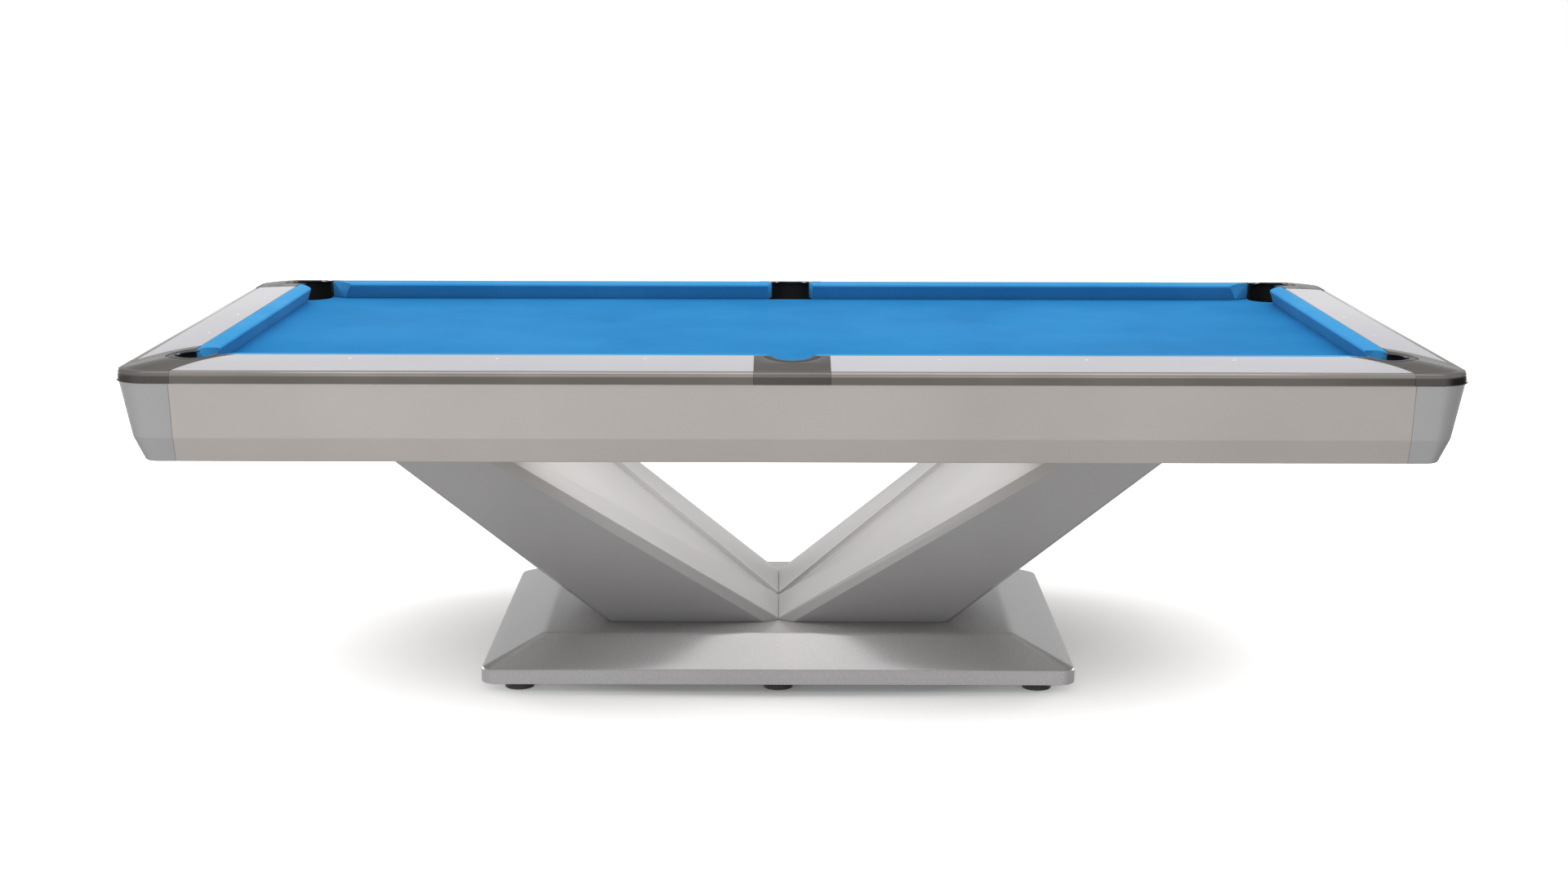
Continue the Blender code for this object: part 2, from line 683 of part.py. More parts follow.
def build_legs(mats):
    for label, side in ENDS.items():
        name = "leg_" + label
        low = PLINTH_TOP_Z + GAP
        high = FRAME_BOTTOM_Z - GAP
        leg = leg_block(name, side, low, high, LEG_SEAM_HALF, leg_planes(), mats["lacquer"])
        inside = leg_planes(LEG_WALL, LEG_WALL + VALLEY_DEPTH)
        hollow = leg_block("hollow_" + name, side, low - 0.03, high + 0.03, LEG_WALL, inside, None)
        boolean(leg, valley_cutter("valley_" + name, side))
        boolean(leg, as_cutter(hollow))


# Plinth and levelling feet
def foot_places():
    places = {}
    for row, sy in LONG_SIDES.items():
        for column, sx in (("left", -1), ("centre", 0), ("right", 1)):
            places[row + "_" + column] = (PEDESTAL_X + sx * FOOT_SPACING_X, sy * FOOT_Y)
    return places


def plinth_ring(inset_x, inset_y, z, radius):
    outline = rounded_rect(PLINTH_HALF_X - inset_x, PLINTH_HALF_Y - inset_y, radius, PEDESTAL_X)
    return [(x, y, z) for x, y in outline]


def build_plinth(mats):
    round_off = PLINTH_EDGE_ROUND
    r = PLINTH_CORNER_R
    soft_out, soft_down = PLINTH_TOP_SOFT
    soft_x = PLINTH_INSET_X - soft_out
    soft_y = PLINTH_INSET_Y - soft_out
    rings = [
        plinth_ring(round_off, round_off, PLINTH_BOTTOM_Z, r - round_off),
        plinth_ring(0, 0, PLINTH_BOTTOM_Z + round_off, r),
        plinth_ring(0, 0, PLINTH_RIM_Z - round_off, r),
        plinth_ring(round_off, round_off, PLINTH_RIM_Z, r - round_off),
        plinth_ring(soft_x, soft_y, PLINTH_TOP_Z - soft_down, PLINTH_TOP_R + 0.003),
        plinth_ring(PLINTH_INSET_X, PLINTH_INSET_Y, PLINTH_TOP_Z, PLINTH_TOP_R),
    ]
    plinth = loft("plinth", rings, mats["lacquer"])
    half_x = PLINTH_HALF_X - PLATE_INSET
    half_y = PLINTH_HALF_Y - PLATE_INSET
    plate_top = PLINTH_BOTTOM_Z + PLATE_THICK
    seat = box_outline(PEDESTAL_X - half_x - GAP, PEDESTAL_X + half_x + GAP, -half_y - GAP, half_y + GAP)
    boolean(plinth, merge_cutters("plate_seat", [seat], 0.0, plate_top + GAP))
    bores = [circle(x, y, BORE_R) for x, y in foot_places().values()]
    boolean(plinth, merge_cutters("stud_bores", bores, 0.0, BORE_TOP_Z))
    outline = box_outline(PEDESTAL_X - half_x, PEDESTAL_X + half_x, -half_y, half_y)
    plate = prism("plinth_plate", outline, PLINTH_BOTTOM_Z, plate_top, mats["steel"])
    holes = [circle(x, y, PLATE_BORE_R) for x, y in foot_places().values()]
    boolean(plate, merge_cutters("plate_bores", holes, 0.0, 0.1))


def build_feet(mats):
    pad = [(0.0, 0.0), (PAD_R - 0.002, 0.0), (PAD_R, 0.002), (PAD_R, 0.010), (PAD_R - 0.006, PAD_HEIGHT),
           (PAD_SOCKET_R, PAD_HEIGHT), (PAD_SOCKET_R, PAD_SOCKET_Z), (0.0, PAD_SOCKET_Z)]
    for label, (x, y) in foot_places().items():
        foot = lathe("foot_pad_" + label, pad, 0.0, 0.0, mats["rubber"])
        foot.location = (x, y, 0.0)
        stud = build_stud("foot_stud_" + label, mats["steel"])
        stud.location = (x, y, 0.0)


def build_stud(name, mat):
    """A hexagon that a spanner turns, with the threaded shank above it."""
    corners = circle(0.0, 0.0, STUD_HEX_R, 6)
    hexagon = []
    for i, corner in enumerate(corners):
        following = corners[(i + 1) % 6]
        hexagon += [corner, tuple((a + b) / 2 for a, b in zip(corner, following))]
    rings = [[(x, y, z) for x, y in hexagon] for z in (PAD_SOCKET_Z + GAP, STUD_HEX_TOP_Z)]
    shank = ((STUD_HEX_TOP_Z, STUD_R), (STUD_TOP_Z - STUD_TIP, STUD_R), (STUD_TOP_Z, STUD_R - STUD_TIP))
    for z, radius in shank:
        rings.append([(x, y, z) for x, y in circle(0.0, 0.0, radius, len(hexagon))])
    return loft(name, rings, mat)


# The table
def build_table():
    clear_scene()
    mats = make_materials()
    cutters = rail_cutters()
    for label, side in LONG_SIDES.items():
        build_long_side(label, side, mats, cutters)
    for label, side in ENDS.items():
        build_end(label, side, mats, cutters)
    build_pockets(mats)
    build_slates(mats)
    build_aprons(mats)
    build_frame(mats)
    build_legs(mats)
    build_plinth(mats)
    build_feet(mats)


build_table()
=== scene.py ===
# Looks of the pool table: cloth, cushions, rails, castings, pockets, apron, pedestal and feet,
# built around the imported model. Metres, +X along the table, +Y away from the camera, +Z up.

import math

import bpy
import bmesh
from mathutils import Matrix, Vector


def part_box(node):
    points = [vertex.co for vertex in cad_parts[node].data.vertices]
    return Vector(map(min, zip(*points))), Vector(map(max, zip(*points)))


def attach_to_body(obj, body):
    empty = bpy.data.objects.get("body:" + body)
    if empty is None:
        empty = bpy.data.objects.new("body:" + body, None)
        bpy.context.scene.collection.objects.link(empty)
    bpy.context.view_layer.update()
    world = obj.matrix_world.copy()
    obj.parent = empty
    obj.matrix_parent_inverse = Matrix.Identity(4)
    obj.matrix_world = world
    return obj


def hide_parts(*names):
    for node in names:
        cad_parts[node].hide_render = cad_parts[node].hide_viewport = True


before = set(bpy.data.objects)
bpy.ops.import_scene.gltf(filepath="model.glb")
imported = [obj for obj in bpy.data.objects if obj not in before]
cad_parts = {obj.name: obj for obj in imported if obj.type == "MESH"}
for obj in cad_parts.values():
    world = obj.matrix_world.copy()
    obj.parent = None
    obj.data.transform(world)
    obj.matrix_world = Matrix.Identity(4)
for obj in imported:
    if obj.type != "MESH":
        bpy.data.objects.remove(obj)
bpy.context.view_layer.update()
print("frame loaded")

tableBody = "table"
corners = {"front_left": (-1, -1), "front_right": (1, -1), "back_left": (-1, 1), "back_right": (1, 1)}
longSides = {"front": -1, "back": 1}
ends = {"left": -1, "right": 1}


# most places are read from the imported model, some are given; offsets are counted outwards from the cushion
# noses
def readPlan():
    low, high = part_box("rail_front_left")
    playY = -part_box("cushion_front_left")[1].y
    plan = {
        "playX": -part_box("cushion_left")[1].x,
        "playY": playY,
        "bedZ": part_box("bed_cloth")[1].z,
        "railInnerZ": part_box("cushion_front_left")[1].z,
        "cushionWidth": 0.040,
        "railOuter": 0.159,
        "railBottomZ": low.z,
        "edgeOut": -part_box("trim_front_left")[0].y - playY,
        "edgeBottomZ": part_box("trim_front_left")[0].z,
        "sideHalf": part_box("casting_side_front")[1].x,
        "seamX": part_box("casting_front_right")[1].x - 0.129,
        "seamY": 0.648,
        "cornerRadius": 0.072,
        "gap": 0.0003,
    }
    return plan


plan = readPlan()


def linear(hexColour):
    values = [int(hexColour[i:i + 2], 16) / 255 for i in (1, 3, 5)]
    return tuple(v / 12.92 if v <= 0.04045 else ((v + 0.055) / 1.055) ** 2.4 for v in values) + (1.0,)


def addNode(tree, kind, settings=None, links=None):
    node = tree.nodes.new(kind)
    for key, value in (settings or {}).items():
        if isinstance(key, int) or key in node.inputs:
            node.inputs[key].default_value = value
        else:
            setattr(node, key, value)
    for key, source in (links or {}).items():
        tree.links.new(source, node.inputs[key])
    return node


def startMaterial(name, colour, roughness, metallic=0.0, **sockets):
    material = bpy.data.materials.new(name)
    material.use_nodes = True
    shader = material.node_tree.nodes["Principled BSDF"]
    shader.inputs["Base Color"].default_value = linear(colour)
    shader.inputs["Roughness"].default_value = roughness
    shader.inputs["Metallic"].default_value = metallic
    for key, value in sockets.items():
        shader.inputs[key.replace("_", " ")].default_value = value
    place = addNode(material.node_tree, "ShaderNodeTexCoord").outputs["Object"]
    return material, material.node_tree, shader, place


def stretched(tree, place, scale):
    return addNode(tree, "ShaderNodeMapping", {"Scale": scale}, {"Vector": place}).outputs["Vector"]


def noise(tree, place, scale, detail=3.0, roughness=0.55):
    settings = {"Scale": scale, "Detail": detail, "Roughness": roughness}
    return addNode(tree, "ShaderNodeTexNoise", settings, {"Vector": place}).outputs["Fac"]


def ramp(tree, source, stops):
    node = addNode(tree, "ShaderNodeValToRGB", None, {"Fac": source})
    elements = node.color_ramp.elements
    while len(elements) < len(stops):
        elements.new(0.5)
    for element, (at, colour) in zip(elements, stops):
        element.position = at
        element.color = linear(colour)
    return node.outputs["Color"]


def spread(tree, source, low, high, fromLow=0.3, fromHigh=0.7):
    settings = {"From Min": fromLow, "From Max": fromHigh, "To Min": low, "To Max": high}
    return addNode(tree, "ShaderNodeMapRange", settings, {"Value": source}).outputs["Result"]


def combine(tree, a, b, operation="ADD"):
    return addNode(tree, "ShaderNodeMath", {"operation": operation}, {0: a, 1: b}).outputs[0]


def shaded(tree, colour, low, high, fromLow, fromHigh):
    # paints light and shade: scales a colour with how far the surface faces up (1) or down (-1)
    normal = addNode(tree, "ShaderNodeNewGeometry").outputs["Normal"]
    upward = addNode(tree, "ShaderNodeSeparateXYZ", None, {"Vector": normal}).outputs["Z"]
    factor = spread(tree, upward, low, high, fromLow, fromHigh)
    links = {0: colour, "Scale": factor}
    return addNode(tree, "ShaderNodeVectorMath", {"operation": "SCALE"}, links).outputs["Vector"]


def bumped(tree, shader, height, strength, distance):
    settings = {"Strength": strength, "Distance": distance}
    node = addNode(tree, "ShaderNodeBump", settings, {"Height": height})
    tree.links.new(node.outputs["Normal"], shader.inputs["Normal"])


def worstedCloth(name, deep, mid, pale):
    # worsted wool, dyed and shorn: matt, a faint sheen at grazing angles, fine crossed threads
    threadSpacing = 0.0016          # real threads are 0.4 mm apart, drawn coarser so that they show
    material, tree, shader, place = startMaterial(name, mid, 0.92, Sheen_Weight=0.02, Sheen_Roughness=0.5)
    shader.inputs["Specular IOR Level"].default_value = 0.06
    wear = noise(tree, place, 3.0, 4.0)
    nap = noise(tree, place, 1 / 0.0028, 2.0)
    mixed = combine(tree, spread(tree, wear, 0.2, 0.8), spread(tree, nap, -0.25, 0.25))
    dyed = ramp(tree, mixed, [(0.0, deep), (0.5, mid), (1.0, pale)])
    # painted shade: faces that turn downwards are darkened, as if they lay in shade
    tree.links.new(shaded(tree, dyed, 0.62, 1.0, -0.25, 0.35), shader.inputs["Base Color"])
    waves = []
    for axis in ("X", "Y"):
        settings = {"bands_direction": axis, "Scale": 0.314 / threadSpacing, "Distortion": 0.6}
        waves.append(addNode(tree, "ShaderNodeTexWave", settings, {"Vector": place}).outputs["Fac"])
    bumped(tree, shader, combine(tree, combine(tree, *waves), nap), 0.25, 0.0003)
    return material


def satinMetal(name, dark, light, roughness, along, brush, coat, grazing):
    # anodised or cast aluminium, rubbed to a satin: fine lines along the bar, soft broad reflections,
    # and a clear lacquer that turns bright at grazing angles
    material, tree, shader, place = startMaterial(name, light, roughness, 1.0)
    shader.inputs["Coat Weight"].default_value = coat
    shader.inputs["Coat Roughness"].default_value = 0.12
    shader.inputs["Specular Tint"].default_value = linear(grazing)
    lines = noise(tree, stretched(tree, place, along), brush, 4.0)
    cloud = noise(tree, place, 5.0, 2.0)
    tree.links.new(ramp(tree, cloud, [(0.25, dark), (0.75, light)]), shader.inputs["Base Color"])
    tree.links.new(spread(tree, lines, roughness - 0.02, roughness + 0.02), shader.inputs["Roughness"])
    bumped(tree, shader, lines, 0.02, 0.00004)
    return material


def metallicLacquer(name, dark, light, roughness, metallic, paintedShade, coat=0.0, flake=0.0011):
    # aluminium-flake lacquer sprayed on board: soft sheen, faint sparkle and slight orange peel.
    # Light and shade are painted in: the tone scales with the facing, by low, high, from, to of the upward
    # normal
    material, tree, shader, place = startMaterial(name, light, roughness, metallic)
    shader.inputs["Coat Weight"].default_value = coat
    shader.inputs["Coat Roughness"].default_value = 0.18
    shader.inputs["Specular Tint"].default_value = linear("#8C8C8C")      # keeps grazing edges grey
    cloud = noise(tree, place, 2.2, 3.0)
    grit = noise(tree, place, 1 / flake, 1.0)
    mixed = combine(tree, spread(tree, cloud, 0.25, 0.75), spread(tree, grit, -0.16, 0.16))
    sprayed = ramp(tree, mixed, [(0.0, dark), (1.0, light)])
    tree.links.new(shaded(tree, sprayed, *paintedShade), shader.inputs["Base Color"])
    tree.links.new(spread(tree, grit, roughness - 0.05, roughness + 0.05), shader.inputs["Roughness"])
    peel = noise(tree, place, 1 / 0.004, 1.0)
    bumped(tree, shader, combine(tree, peel, grit), 0.06, 0.0002)
    return material


def pearlLaminate():
    # high-pressure laminate with a pearl print: smooth, satin, with a barely visible linear fleck
    material, tree, shader, place = startMaterial("pearlLaminate", "#D0CFD5", 0.34)
    fleck = noise(tree, stretched(tree, place, (1.0, 5.0, 5.0)), 160.0, 3.0)
    cloud = noise(tree, place, 1.6, 2.0)
    mixed = combine(tree, spread(tree, cloud, 0.3, 0.7), spread(tree, fleck, -0.2, 0.2))
    tree.links.new(ramp(tree, mixed, [(0.0, "#BDBCC1"), (1.0, "#CECDD2")]), shader.inputs["Base Color"])
    tree.links.new(spread(tree, fleck, 0.30, 0.40), shader.inputs["Roughness"])
    bumped(tree, shader, fleck, 0.05, 0.0001)
    return material


def pebbledRubber():
    # moulded black rubber with a leather grain: matt, small rounded pebbles
    material, tree, shader, place = startMaterial("pebbledRubber", "#161616", 0.62)
    settings = {"feature": "SMOOTH_F1", "Scale": 1 / 0.0035}
    cells = addNode(tree, "ShaderNodeTexVoronoi", settings, {"Vector": place}).outputs["Distance"]
    worn = noise(tree, place, 30.0, 3.0)
    tree.links.new(ramp(tree, worn, [(0.3, "#101010"), (0.75, "#1E1D1D")]), shader.inputs["Base Color"])
    tree.links.new(spread(tree, worn, 0.5, 0.72), shader.inputs["Roughness"])
    bumped(tree, shader, cells, 0.4, 0.0006)
    return material


def honedSlate():
    # sawn and ground slate: dull grey with cloudy bedding and faint grinding marks
    material, tree, shader, place = startMaterial("honedSlate", "#4A4D50", 0.68)
    bedding = noise(tree, stretched(tree, place, (1.0, 1.6, 9.0)), 7.0, 6.0)
    grit = noise(tree, place, 500.0, 2.0)
    stops = [(0.25, "#36393C"), (0.55, "#4A4D50"), (0.8, "#5C5F61")]
    tree.links.new(ramp(tree, bedding, stops), shader.inputs["Base Color"])
    bumped(tree, shader, combine(tree, bedding, grit), 0.25, 0.0006)
    return material


def planedTimber():
    # planed softwood: rings drawn out along the beam, slightly darker late wood, dry surface
    material, tree, shader, place = startMaterial("planedTimber", "#B08B5E", 0.6)
    drawn = stretched(tree, place, (0.35, 6.0, 9.0))
    settings = {"wave_type": "RINGS", "Scale": 3.0, "Distortion": 5.0, "Detail": 3.0, "Detail Scale": 1.2}
    rings = addNode(tree, "ShaderNodeTexWave", settings, {"Vector": drawn}).outputs["Fac"]
    fibre = noise(tree, stretched(tree, place, (3.0, 60.0, 60.0)), 10.0, 4.0)
    mixed = combine(tree, rings, spread(tree, fibre, -0.25, 0.25))
    stops = [(0.0, "#8A6438"), (0.6, "#B58F60"), (1.0, "#C7A677")]
    tree.links.new(ramp(tree, mixed, stops), shader.inputs["Base Color"])
    bumped(tree, shader, combine(tree, rings, fibre), 0.2, 0.0004)
    return material


def zincPlate(name, dark, light, roughness):
    # rolled steel with a thin zinc coat: cloudy spangle, broad dull reflections
    material, tree, shader, place = startMaterial(name, light, roughness, 0.9)
    spangle = addNode(tree, "ShaderNodeTexVoronoi", {"Scale": 90.0}, {"Vector": place}).outputs["Color"]
    cloud = noise(tree, place, 14.0, 4.0)
    tone = combine(tree, spread(tree, cloud, 0.1, 0.7), spread(tree, spangle, 0.0, 0.3, 0.0, 1.0))
    tree.links.new(ramp(tree, tone, [(0.0, dark), (1.0, light)]), shader.inputs["Base Color"])
    tree.links.new(spread(tree, cloud, roughness - 0.08, roughness + 0.1), shader.inputs["Roughness"])
    bumped(tree, shader, cloud, 0.08, 0.0003)
    return material


def mouldedNylon(name):
    # glass-filled nylon: dark grey, dull, with the fine grain of an eroded mould
    material, tree, shader, place = startMaterial(name, "#363637", 0.55)
    grain = noise(tree, place, 1 / 0.0015, 3.0)
    tree.links.new(ramp(tree, grain, [(0.3, "#2C2C2D"), (0.75, "#404040")]), shader.inputs["Base Color"])
    bumped(tree, shader, grain, 0.3, 0.0003)
    return material


def pearlInlay():
    # pressed mother-of-pearl resin: milky, glossy, with a soft cool and warm shift
    material, tree, shader, place = startMaterial("pearlInlay", "#F6F5F2", 0.15)
    cloud = noise(tree, place, 220.0, 3.0)
    stops = [(0.3, "#DFE3E7"), (0.55, "#EEEDEB"), (0.75, "#E8E1DC")]
    tree.links.new(ramp(tree, cloud, stops), shader.inputs["Base Color"])
    shader.inputs["Coat Weight"].default_value = 0.5
    return material


even = (1.0, 1.0, 1.0)
drawnOut = (1.0, 30.0, 30.0)                # fine lines that run along a bar
# painted light and shade of the lacquers: colour scale (low, high) over the upward normal (from, to)
apronPaintedShade = (0.86, 1.0, -0.33, -0.22)
cornerPaintedShade = (0.88, 1.0, -0.33, -0.22)
legPaintedShade = (0.80, 1.14, -0.1, 0.25)
plinthPaintedShade = (1.25, 1.0, 0.0, 0.6)

finishes = {
    "bedCloth": worstedCloth("bedCloth", "#1A7ABA", "#258ACB", "#3094D4"),
    # the cushions wear the bed's cloth; here it is painted lighter for the light that falls on the cushion
    # tops
    "cushionCloth": worstedCloth("cushionCloth", "#3594D2", "#44A2DE", "#58B0E8"),
    "laminate": pearlLaminate(),
    "trim": satinMetal("anodisedTrim", "#98918A", "#A9A29B", 0.23, drawnOut, 60.0, 1.0, "#FFFFFF"),
    "casting": satinMetal("castSatin", "#7A7673", "#888481", 0.27, even, 90.0, 0.2, "#B0B0B0"),
    "ring": satinMetal("pocketRing", "#66625F", "#726E6B", 0.36, even, 90.0, 0.2, "#A0A0A0"),
    # painted shadow: a dark nylon strip stands for the shadow in the gap between laminate and metal
    "bead": mouldedNylon("paintedShadowNylon"),
    "apron": metallicLacquer("apronLacquer", "#B4AEAA", "#C2BCB8", 0.42, 0.55, apronPaintedShade),
    "apronCorner": metallicLacquer("cornerLacquer", "#B0AFB0", "#BEBDBE", 0.38, 0.65, cornerPaintedShade),
    "leg": metallicLacquer("legLacquer", "#979696", "#A5A4A4", 0.45, 0.35, legPaintedShade),
    "plinth": metallicLacquer("plinthLacquer", "#9A9999", "#AAA9A9", 0.30, 0.45, plinthPaintedShade, 0.3),
    "rubber": pebbledRubber(),
    "slate": honedSlate(),
    "timber": planedTimber(),
    "plate": zincPlate("zincPlate", "#7E8184", "#9A9D9F", 0.42),
    "stud": zincPlate("zincStud", "#A9ABAC", "#C9CBCC", 0.28),
    "pad": mouldedNylon("footNylon"),
    "sight": pearlInlay(),
}
print("materials ready")


def makePiece(name, verts, faces, finish, smooth=38.0):
    mesh = bpy.data.meshes.new(name)
    mesh.from_pydata([tuple(v) for v in verts], [], faces)
    bm = bmesh.new()
    bm.from_mesh(mesh)
    bmesh.ops.recalc_face_normals(bm, faces=bm.faces)
    bm.to_mesh(mesh)
    bm.free()
    mesh.shade_smooth()
    mesh.set_sharp_from_angle(angle=math.radians(smooth))
    obj = bpy.data.objects.new(name, mesh)
    bpy.context.scene.collection.objects.link(obj)
    if finish is not None:
        mesh.materials.append(finishes[finish])
    return obj


def skin(rings, capped=True):
    # faces through rings of equal length
    size = len(rings[0])
    verts = [v for ring in rings for v in ring]
    faces = []
    for i in range(len(rings) - 1):
        a = i * size
        faces += [(a + j, a + (j + 1) % size, a + size + (j + 1) % size, a + size + j) for j in range(size)]
    if capped:
        faces.append(tuple(range(size)))
        faces.append(tuple(range(len(verts) - size, len(verts))))
    return verts, faces


def attach(obj, body, nodes=()):
    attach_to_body(obj, body)
    if nodes:
        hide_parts(*nodes)
    return obj


def bake(obj):
    graph = bpy.context.evaluated_depsgraph_get()
    mesh = bpy.data.meshes.new_from_object(obj.evaluated_get(graph))
    obj.modifiers.clear()
    obj.data = mesh
    return obj


def paint(obj, finish):
    obj.data.materials.clear()
    obj.data.materials.append(finishes[finish])


def easeEdges(obj, width, segments, limit, sharp):
    # rounds every edge steeper than limit, and shades smooth what is flatter than sharp, in degrees
    bevel = obj.modifiers.new("softEdges", "BEVEL")
    bevel.width = width
    bevel.segments = segments
    bevel.limit_method = "ANGLE"
    bevel.angle_limit = math.radians(limit)
    bake(obj)
    obj.data.shade_smooth()
    obj.data.set_sharp_from_angle(angle=math.radians(sharp))


def arc(cx, cy, radius, start, end, steps):
    turn = [math.radians(start + (end - start) * i / steps) for i in range(steps + 1)]
    return [(cx + radius * math.cos(a), cy + radius * math.sin(a)) for a in turn]


def roundedRectangle(cx, halfX, halfY, radius, steps):
    # half sizes count to the centres of the corners' arcs
    points = []
    for sx, sy, start in ((1, 1, 0), (-1, 1, 90), (-1, -1, 180), (1, -1, 270)):
        points += arc(cx + sx * halfX, sy * halfY, radius, start, start + 90, steps)
    return points


def inset(outline, depth):
    # a closed outline moved inwards by depth
    size = len(outline)
    area = sum(outline[i - 1][0] * outline[i][1] - outline[i][0] * outline[i - 1][1] for i in range(size))
    way = 1.0 if area > 0 else -1.0
    moved = []
    for i in range(size):
        p = Vector(outline[i])
        before = (p - Vector(outline[i - 1])).normalized()
        after = (Vector(outline[(i + 1) % size]) - p).normalized()
        normal = Vector((-(before.y + after.y), before.x + after.x)).normalized() * way
        spreadOut = max(0.45, normal.dot(Vector((-after.y, after.x)) * way))
        moved.append(tuple(p + normal * depth / spreadOut))
    return moved


def bar(name, profile, startOf, endOf, place, finish, edge):
    # a long bar of one section with softened ends; its ends may slant or curve with the offset
    easing = ((0.0, 1.0), (0.3, 0.3), (1.0, 0.0))
    rings = []
    for run, shrink in easing:
        section = inset(profile, edge * shrink)
        rings.append([place(startOf(p[0]) + run * edge, *q) for p, q in zip(profile, section)])
    for run, shrink in reversed(easing):
        section = inset(profile, edge * shrink)
        rings.append([place(endOf(p[0]) - run * edge, *q) for p, q in zip(profile, section)])
    return makePiece(name, *skin(rings), finish)


def onLongSide(side):
    return lambda along, o, z: (along, side * (plan["playY"] + o), z)


def onEnd(side):
    return lambda along, o, z: (side * (plan["playX"] + o), along, z)


def mirrored(along):
    return lambda o: -along(o)


def railRuns(inner, outer, half):
    # the six rails as (label, start, end, place); their ends are functions of the offset
    runs = []
    for rowLabel, side in longSides.items():
        for endLabel, way in ends.items():
            startOf, endOf = (inner, outer) if way > 0 else (mirrored(outer), mirrored(inner))
            runs.append((rowLabel + "_" + endLabel, startOf, endOf, onLongSide(side)))
    for label, side in ends.items():
        runs.append((label, mirrored(half), half, onEnd(side)))
    return runs


def railHeight(o):
    run = max(o - plan["cushionWidth"], 0.0)
    return plan["railInnerZ"] - 0.07 * run - 0.6 * run * run


def quadratic(p0, p1, p2, t):
    return tuple((1 - t) ** 2 * a + 2 * t * (1 - t) * b + t * t * c for a, b, c in zip(p0, p1, p2))


# edges of a corner casting's horns: (distance before the nose corner, offset) points of a bent line
hornSettings = {"longStart": 0.065, "longBend": (0.004, 0.077), "endStart": 0.090,
                "endBend": (0.0615, 0.1005), "steps": 28}


def hornCurve(start, bend, seam):
    steps = hornSettings["steps"]
    first = (start, plan["cushionWidth"] + plan["gap"])
    last = (seam, plan["railOuter"])
    return [quadratic(first, bend, last, i / steps) for i in range(steps + 1)]


hornLong = hornCurve(hornSettings["longStart"], hornSettings["longBend"], plan["playX"] - plan["seamX"])
hornEnd = hornCurve(hornSettings["endStart"], hornSettings["endBend"], plan["playY"] - plan["seamY"])


def hornAt(points, o):
    # how far before the nose corner the horn's edge lies at an offset
    if o <= points[0][1]:
        return points[0][0]
    for (a0, o0), (a1, o1) in zip(points[:-1], points[1:]):
        if o <= o1:
            return a0 + (a1 - a0) * (o - o0) / (o1 - o0)
    return points[-1][0]


bedClothSettings = {"overhang": 0.110, "thick": 0.0009, "fold": 0.0025, "tuck": 0.012,
                    "slateClear": 0.0005, "cornerSteps": 24}
sideCentreOut = 0.038               # side pockets' centres lie this far outside the nose line
sideFront = 0.0305                  # and their liners are cut straight this far before it


def pocketCentre(label):
    low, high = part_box("liner_" + label)
    if label.startswith("side"):
        return (0.0, math.copysign(plan["playY"] + sideCentreOut, low.y))
    return ((low.x + high.x) / 2, (low.y + high.y) / 2)


def linerRadius():
    low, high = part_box("liner_front_left")
    return (high.x - low.x) / 2


pocketRadius = linerRadius()


def pocketRing(label, radius, steps=64):
    # plan of a pocket at any radius. Side pockets are cut straight towards the field
    cx, cy = pocketCentre(label)
    points = []
    for i in range(steps):
        a = 2 * math.pi * i / steps
        x = radius * math.cos(a)
        y = radius * math.sin(a)
        if label.startswith("side"):
            y = max(y, -sideFront - (radius - pocketRadius))
            y *= math.copysign(1.0, cy)
        points.append((cx + x, cy + y))
    return points


def bedOutline(grow):
    s = bedClothSettings
    radius = pocketRadius + s["slateClear"] + grow
    cx, cy = pocketCentre("back_right")
    edgeX = plan["playX"] + s["overhang"]
    edgeY = plan["playY"] + s["overhang"]
    sy = pocketCentre("side_back")[1]
    front = -sideFront - (radius - pocketRadius)
    corner = [(edgeX, cy - radius)] + arc(cx, cy, radius, 270, 180, s["cornerSteps"])
    corner.append((cx - radius, edgeY))
    turn = [(x, sy + max(y, front)) for x, y in arc(0, 0, radius, 360, 180, 2 * s["cornerSteps"])]
    side = [(radius, edgeY)] + turn + [(-radius, edgeY)]
    upper = corner + side + [(-x, y) for x, y in reversed(corner)]
    return upper + [(-x, -y) for x, y in upper]


def makeBedCloth():
    s = bedClothSettings
    top = plan["bedZ"]
    rings = [[(x, y, top) for x, y in bedOutline(s["fold"])]]
    for angle in (30, 60, 90):
        a = math.radians(angle)
        run = s["fold"] * (1 - math.sin(a))
        drop = s["fold"] * (1 - math.cos(a))
        rings.append([(x, y, top - drop) for x, y in bedOutline(run)])
    rings.append([(x, y, top - s["tuck"]) for x, y in bedOutline(0.0)])
    verts, faces = skin(rings, capped=False)
    faces.append(tuple(range(len(rings[0]))))
    obj = makePiece("bedClothSheet", verts, faces, "bedCloth", 60.0)
    outward = obj.data.polygons[len(obj.data.polygons) - 1].normal.z
    if outward < 0:
        obj.data.flip_normals()
    solid = obj.modifiers.new("clothThickness", "SOLIDIFY")
    solid.thickness = s["thick"]
    solid.offset = -1.0
    bake(obj)
    attach(obj, tableBody, ["bed_cloth"])


cushionSettings = {"noseRadius": 0.0055, "noseZ": 0.8045, "foot": 0.0125, "edge": 0.0022,
                   "cornerCut": 0.088, "cornerRun": 1.28, "sideNose": 0.060, "sideRun": -0.25}


def cushionProfile():
    # from the foot up the undercut face, round the nose and back over the slightly domed top
    s = cushionSettings
    w = plan["cushionWidth"]
    top = plan["railInnerZ"]
    low = plan["bedZ"] + plan["gap"]
    r = s["noseRadius"]
    points = [(w - 0.0002, low), (s["foot"] + 0.001, low), (s["foot"], low + 0.0015)]
    points += [(0.0095, low + 0.010), (0.0055, low + 0.022)]
    points += arc(r, s["noseZ"], r, 212, 100, 8)
    points += [(0.009, top - 0.0021), (0.015, top - 0.0008), (0.023, top + 0.0002), (0.031, top + 0.0003)]
    points += [(0.0365, top - 0.0001), (0.0387, top - 0.0007), (0.0396, top - 0.0022)]
    return points


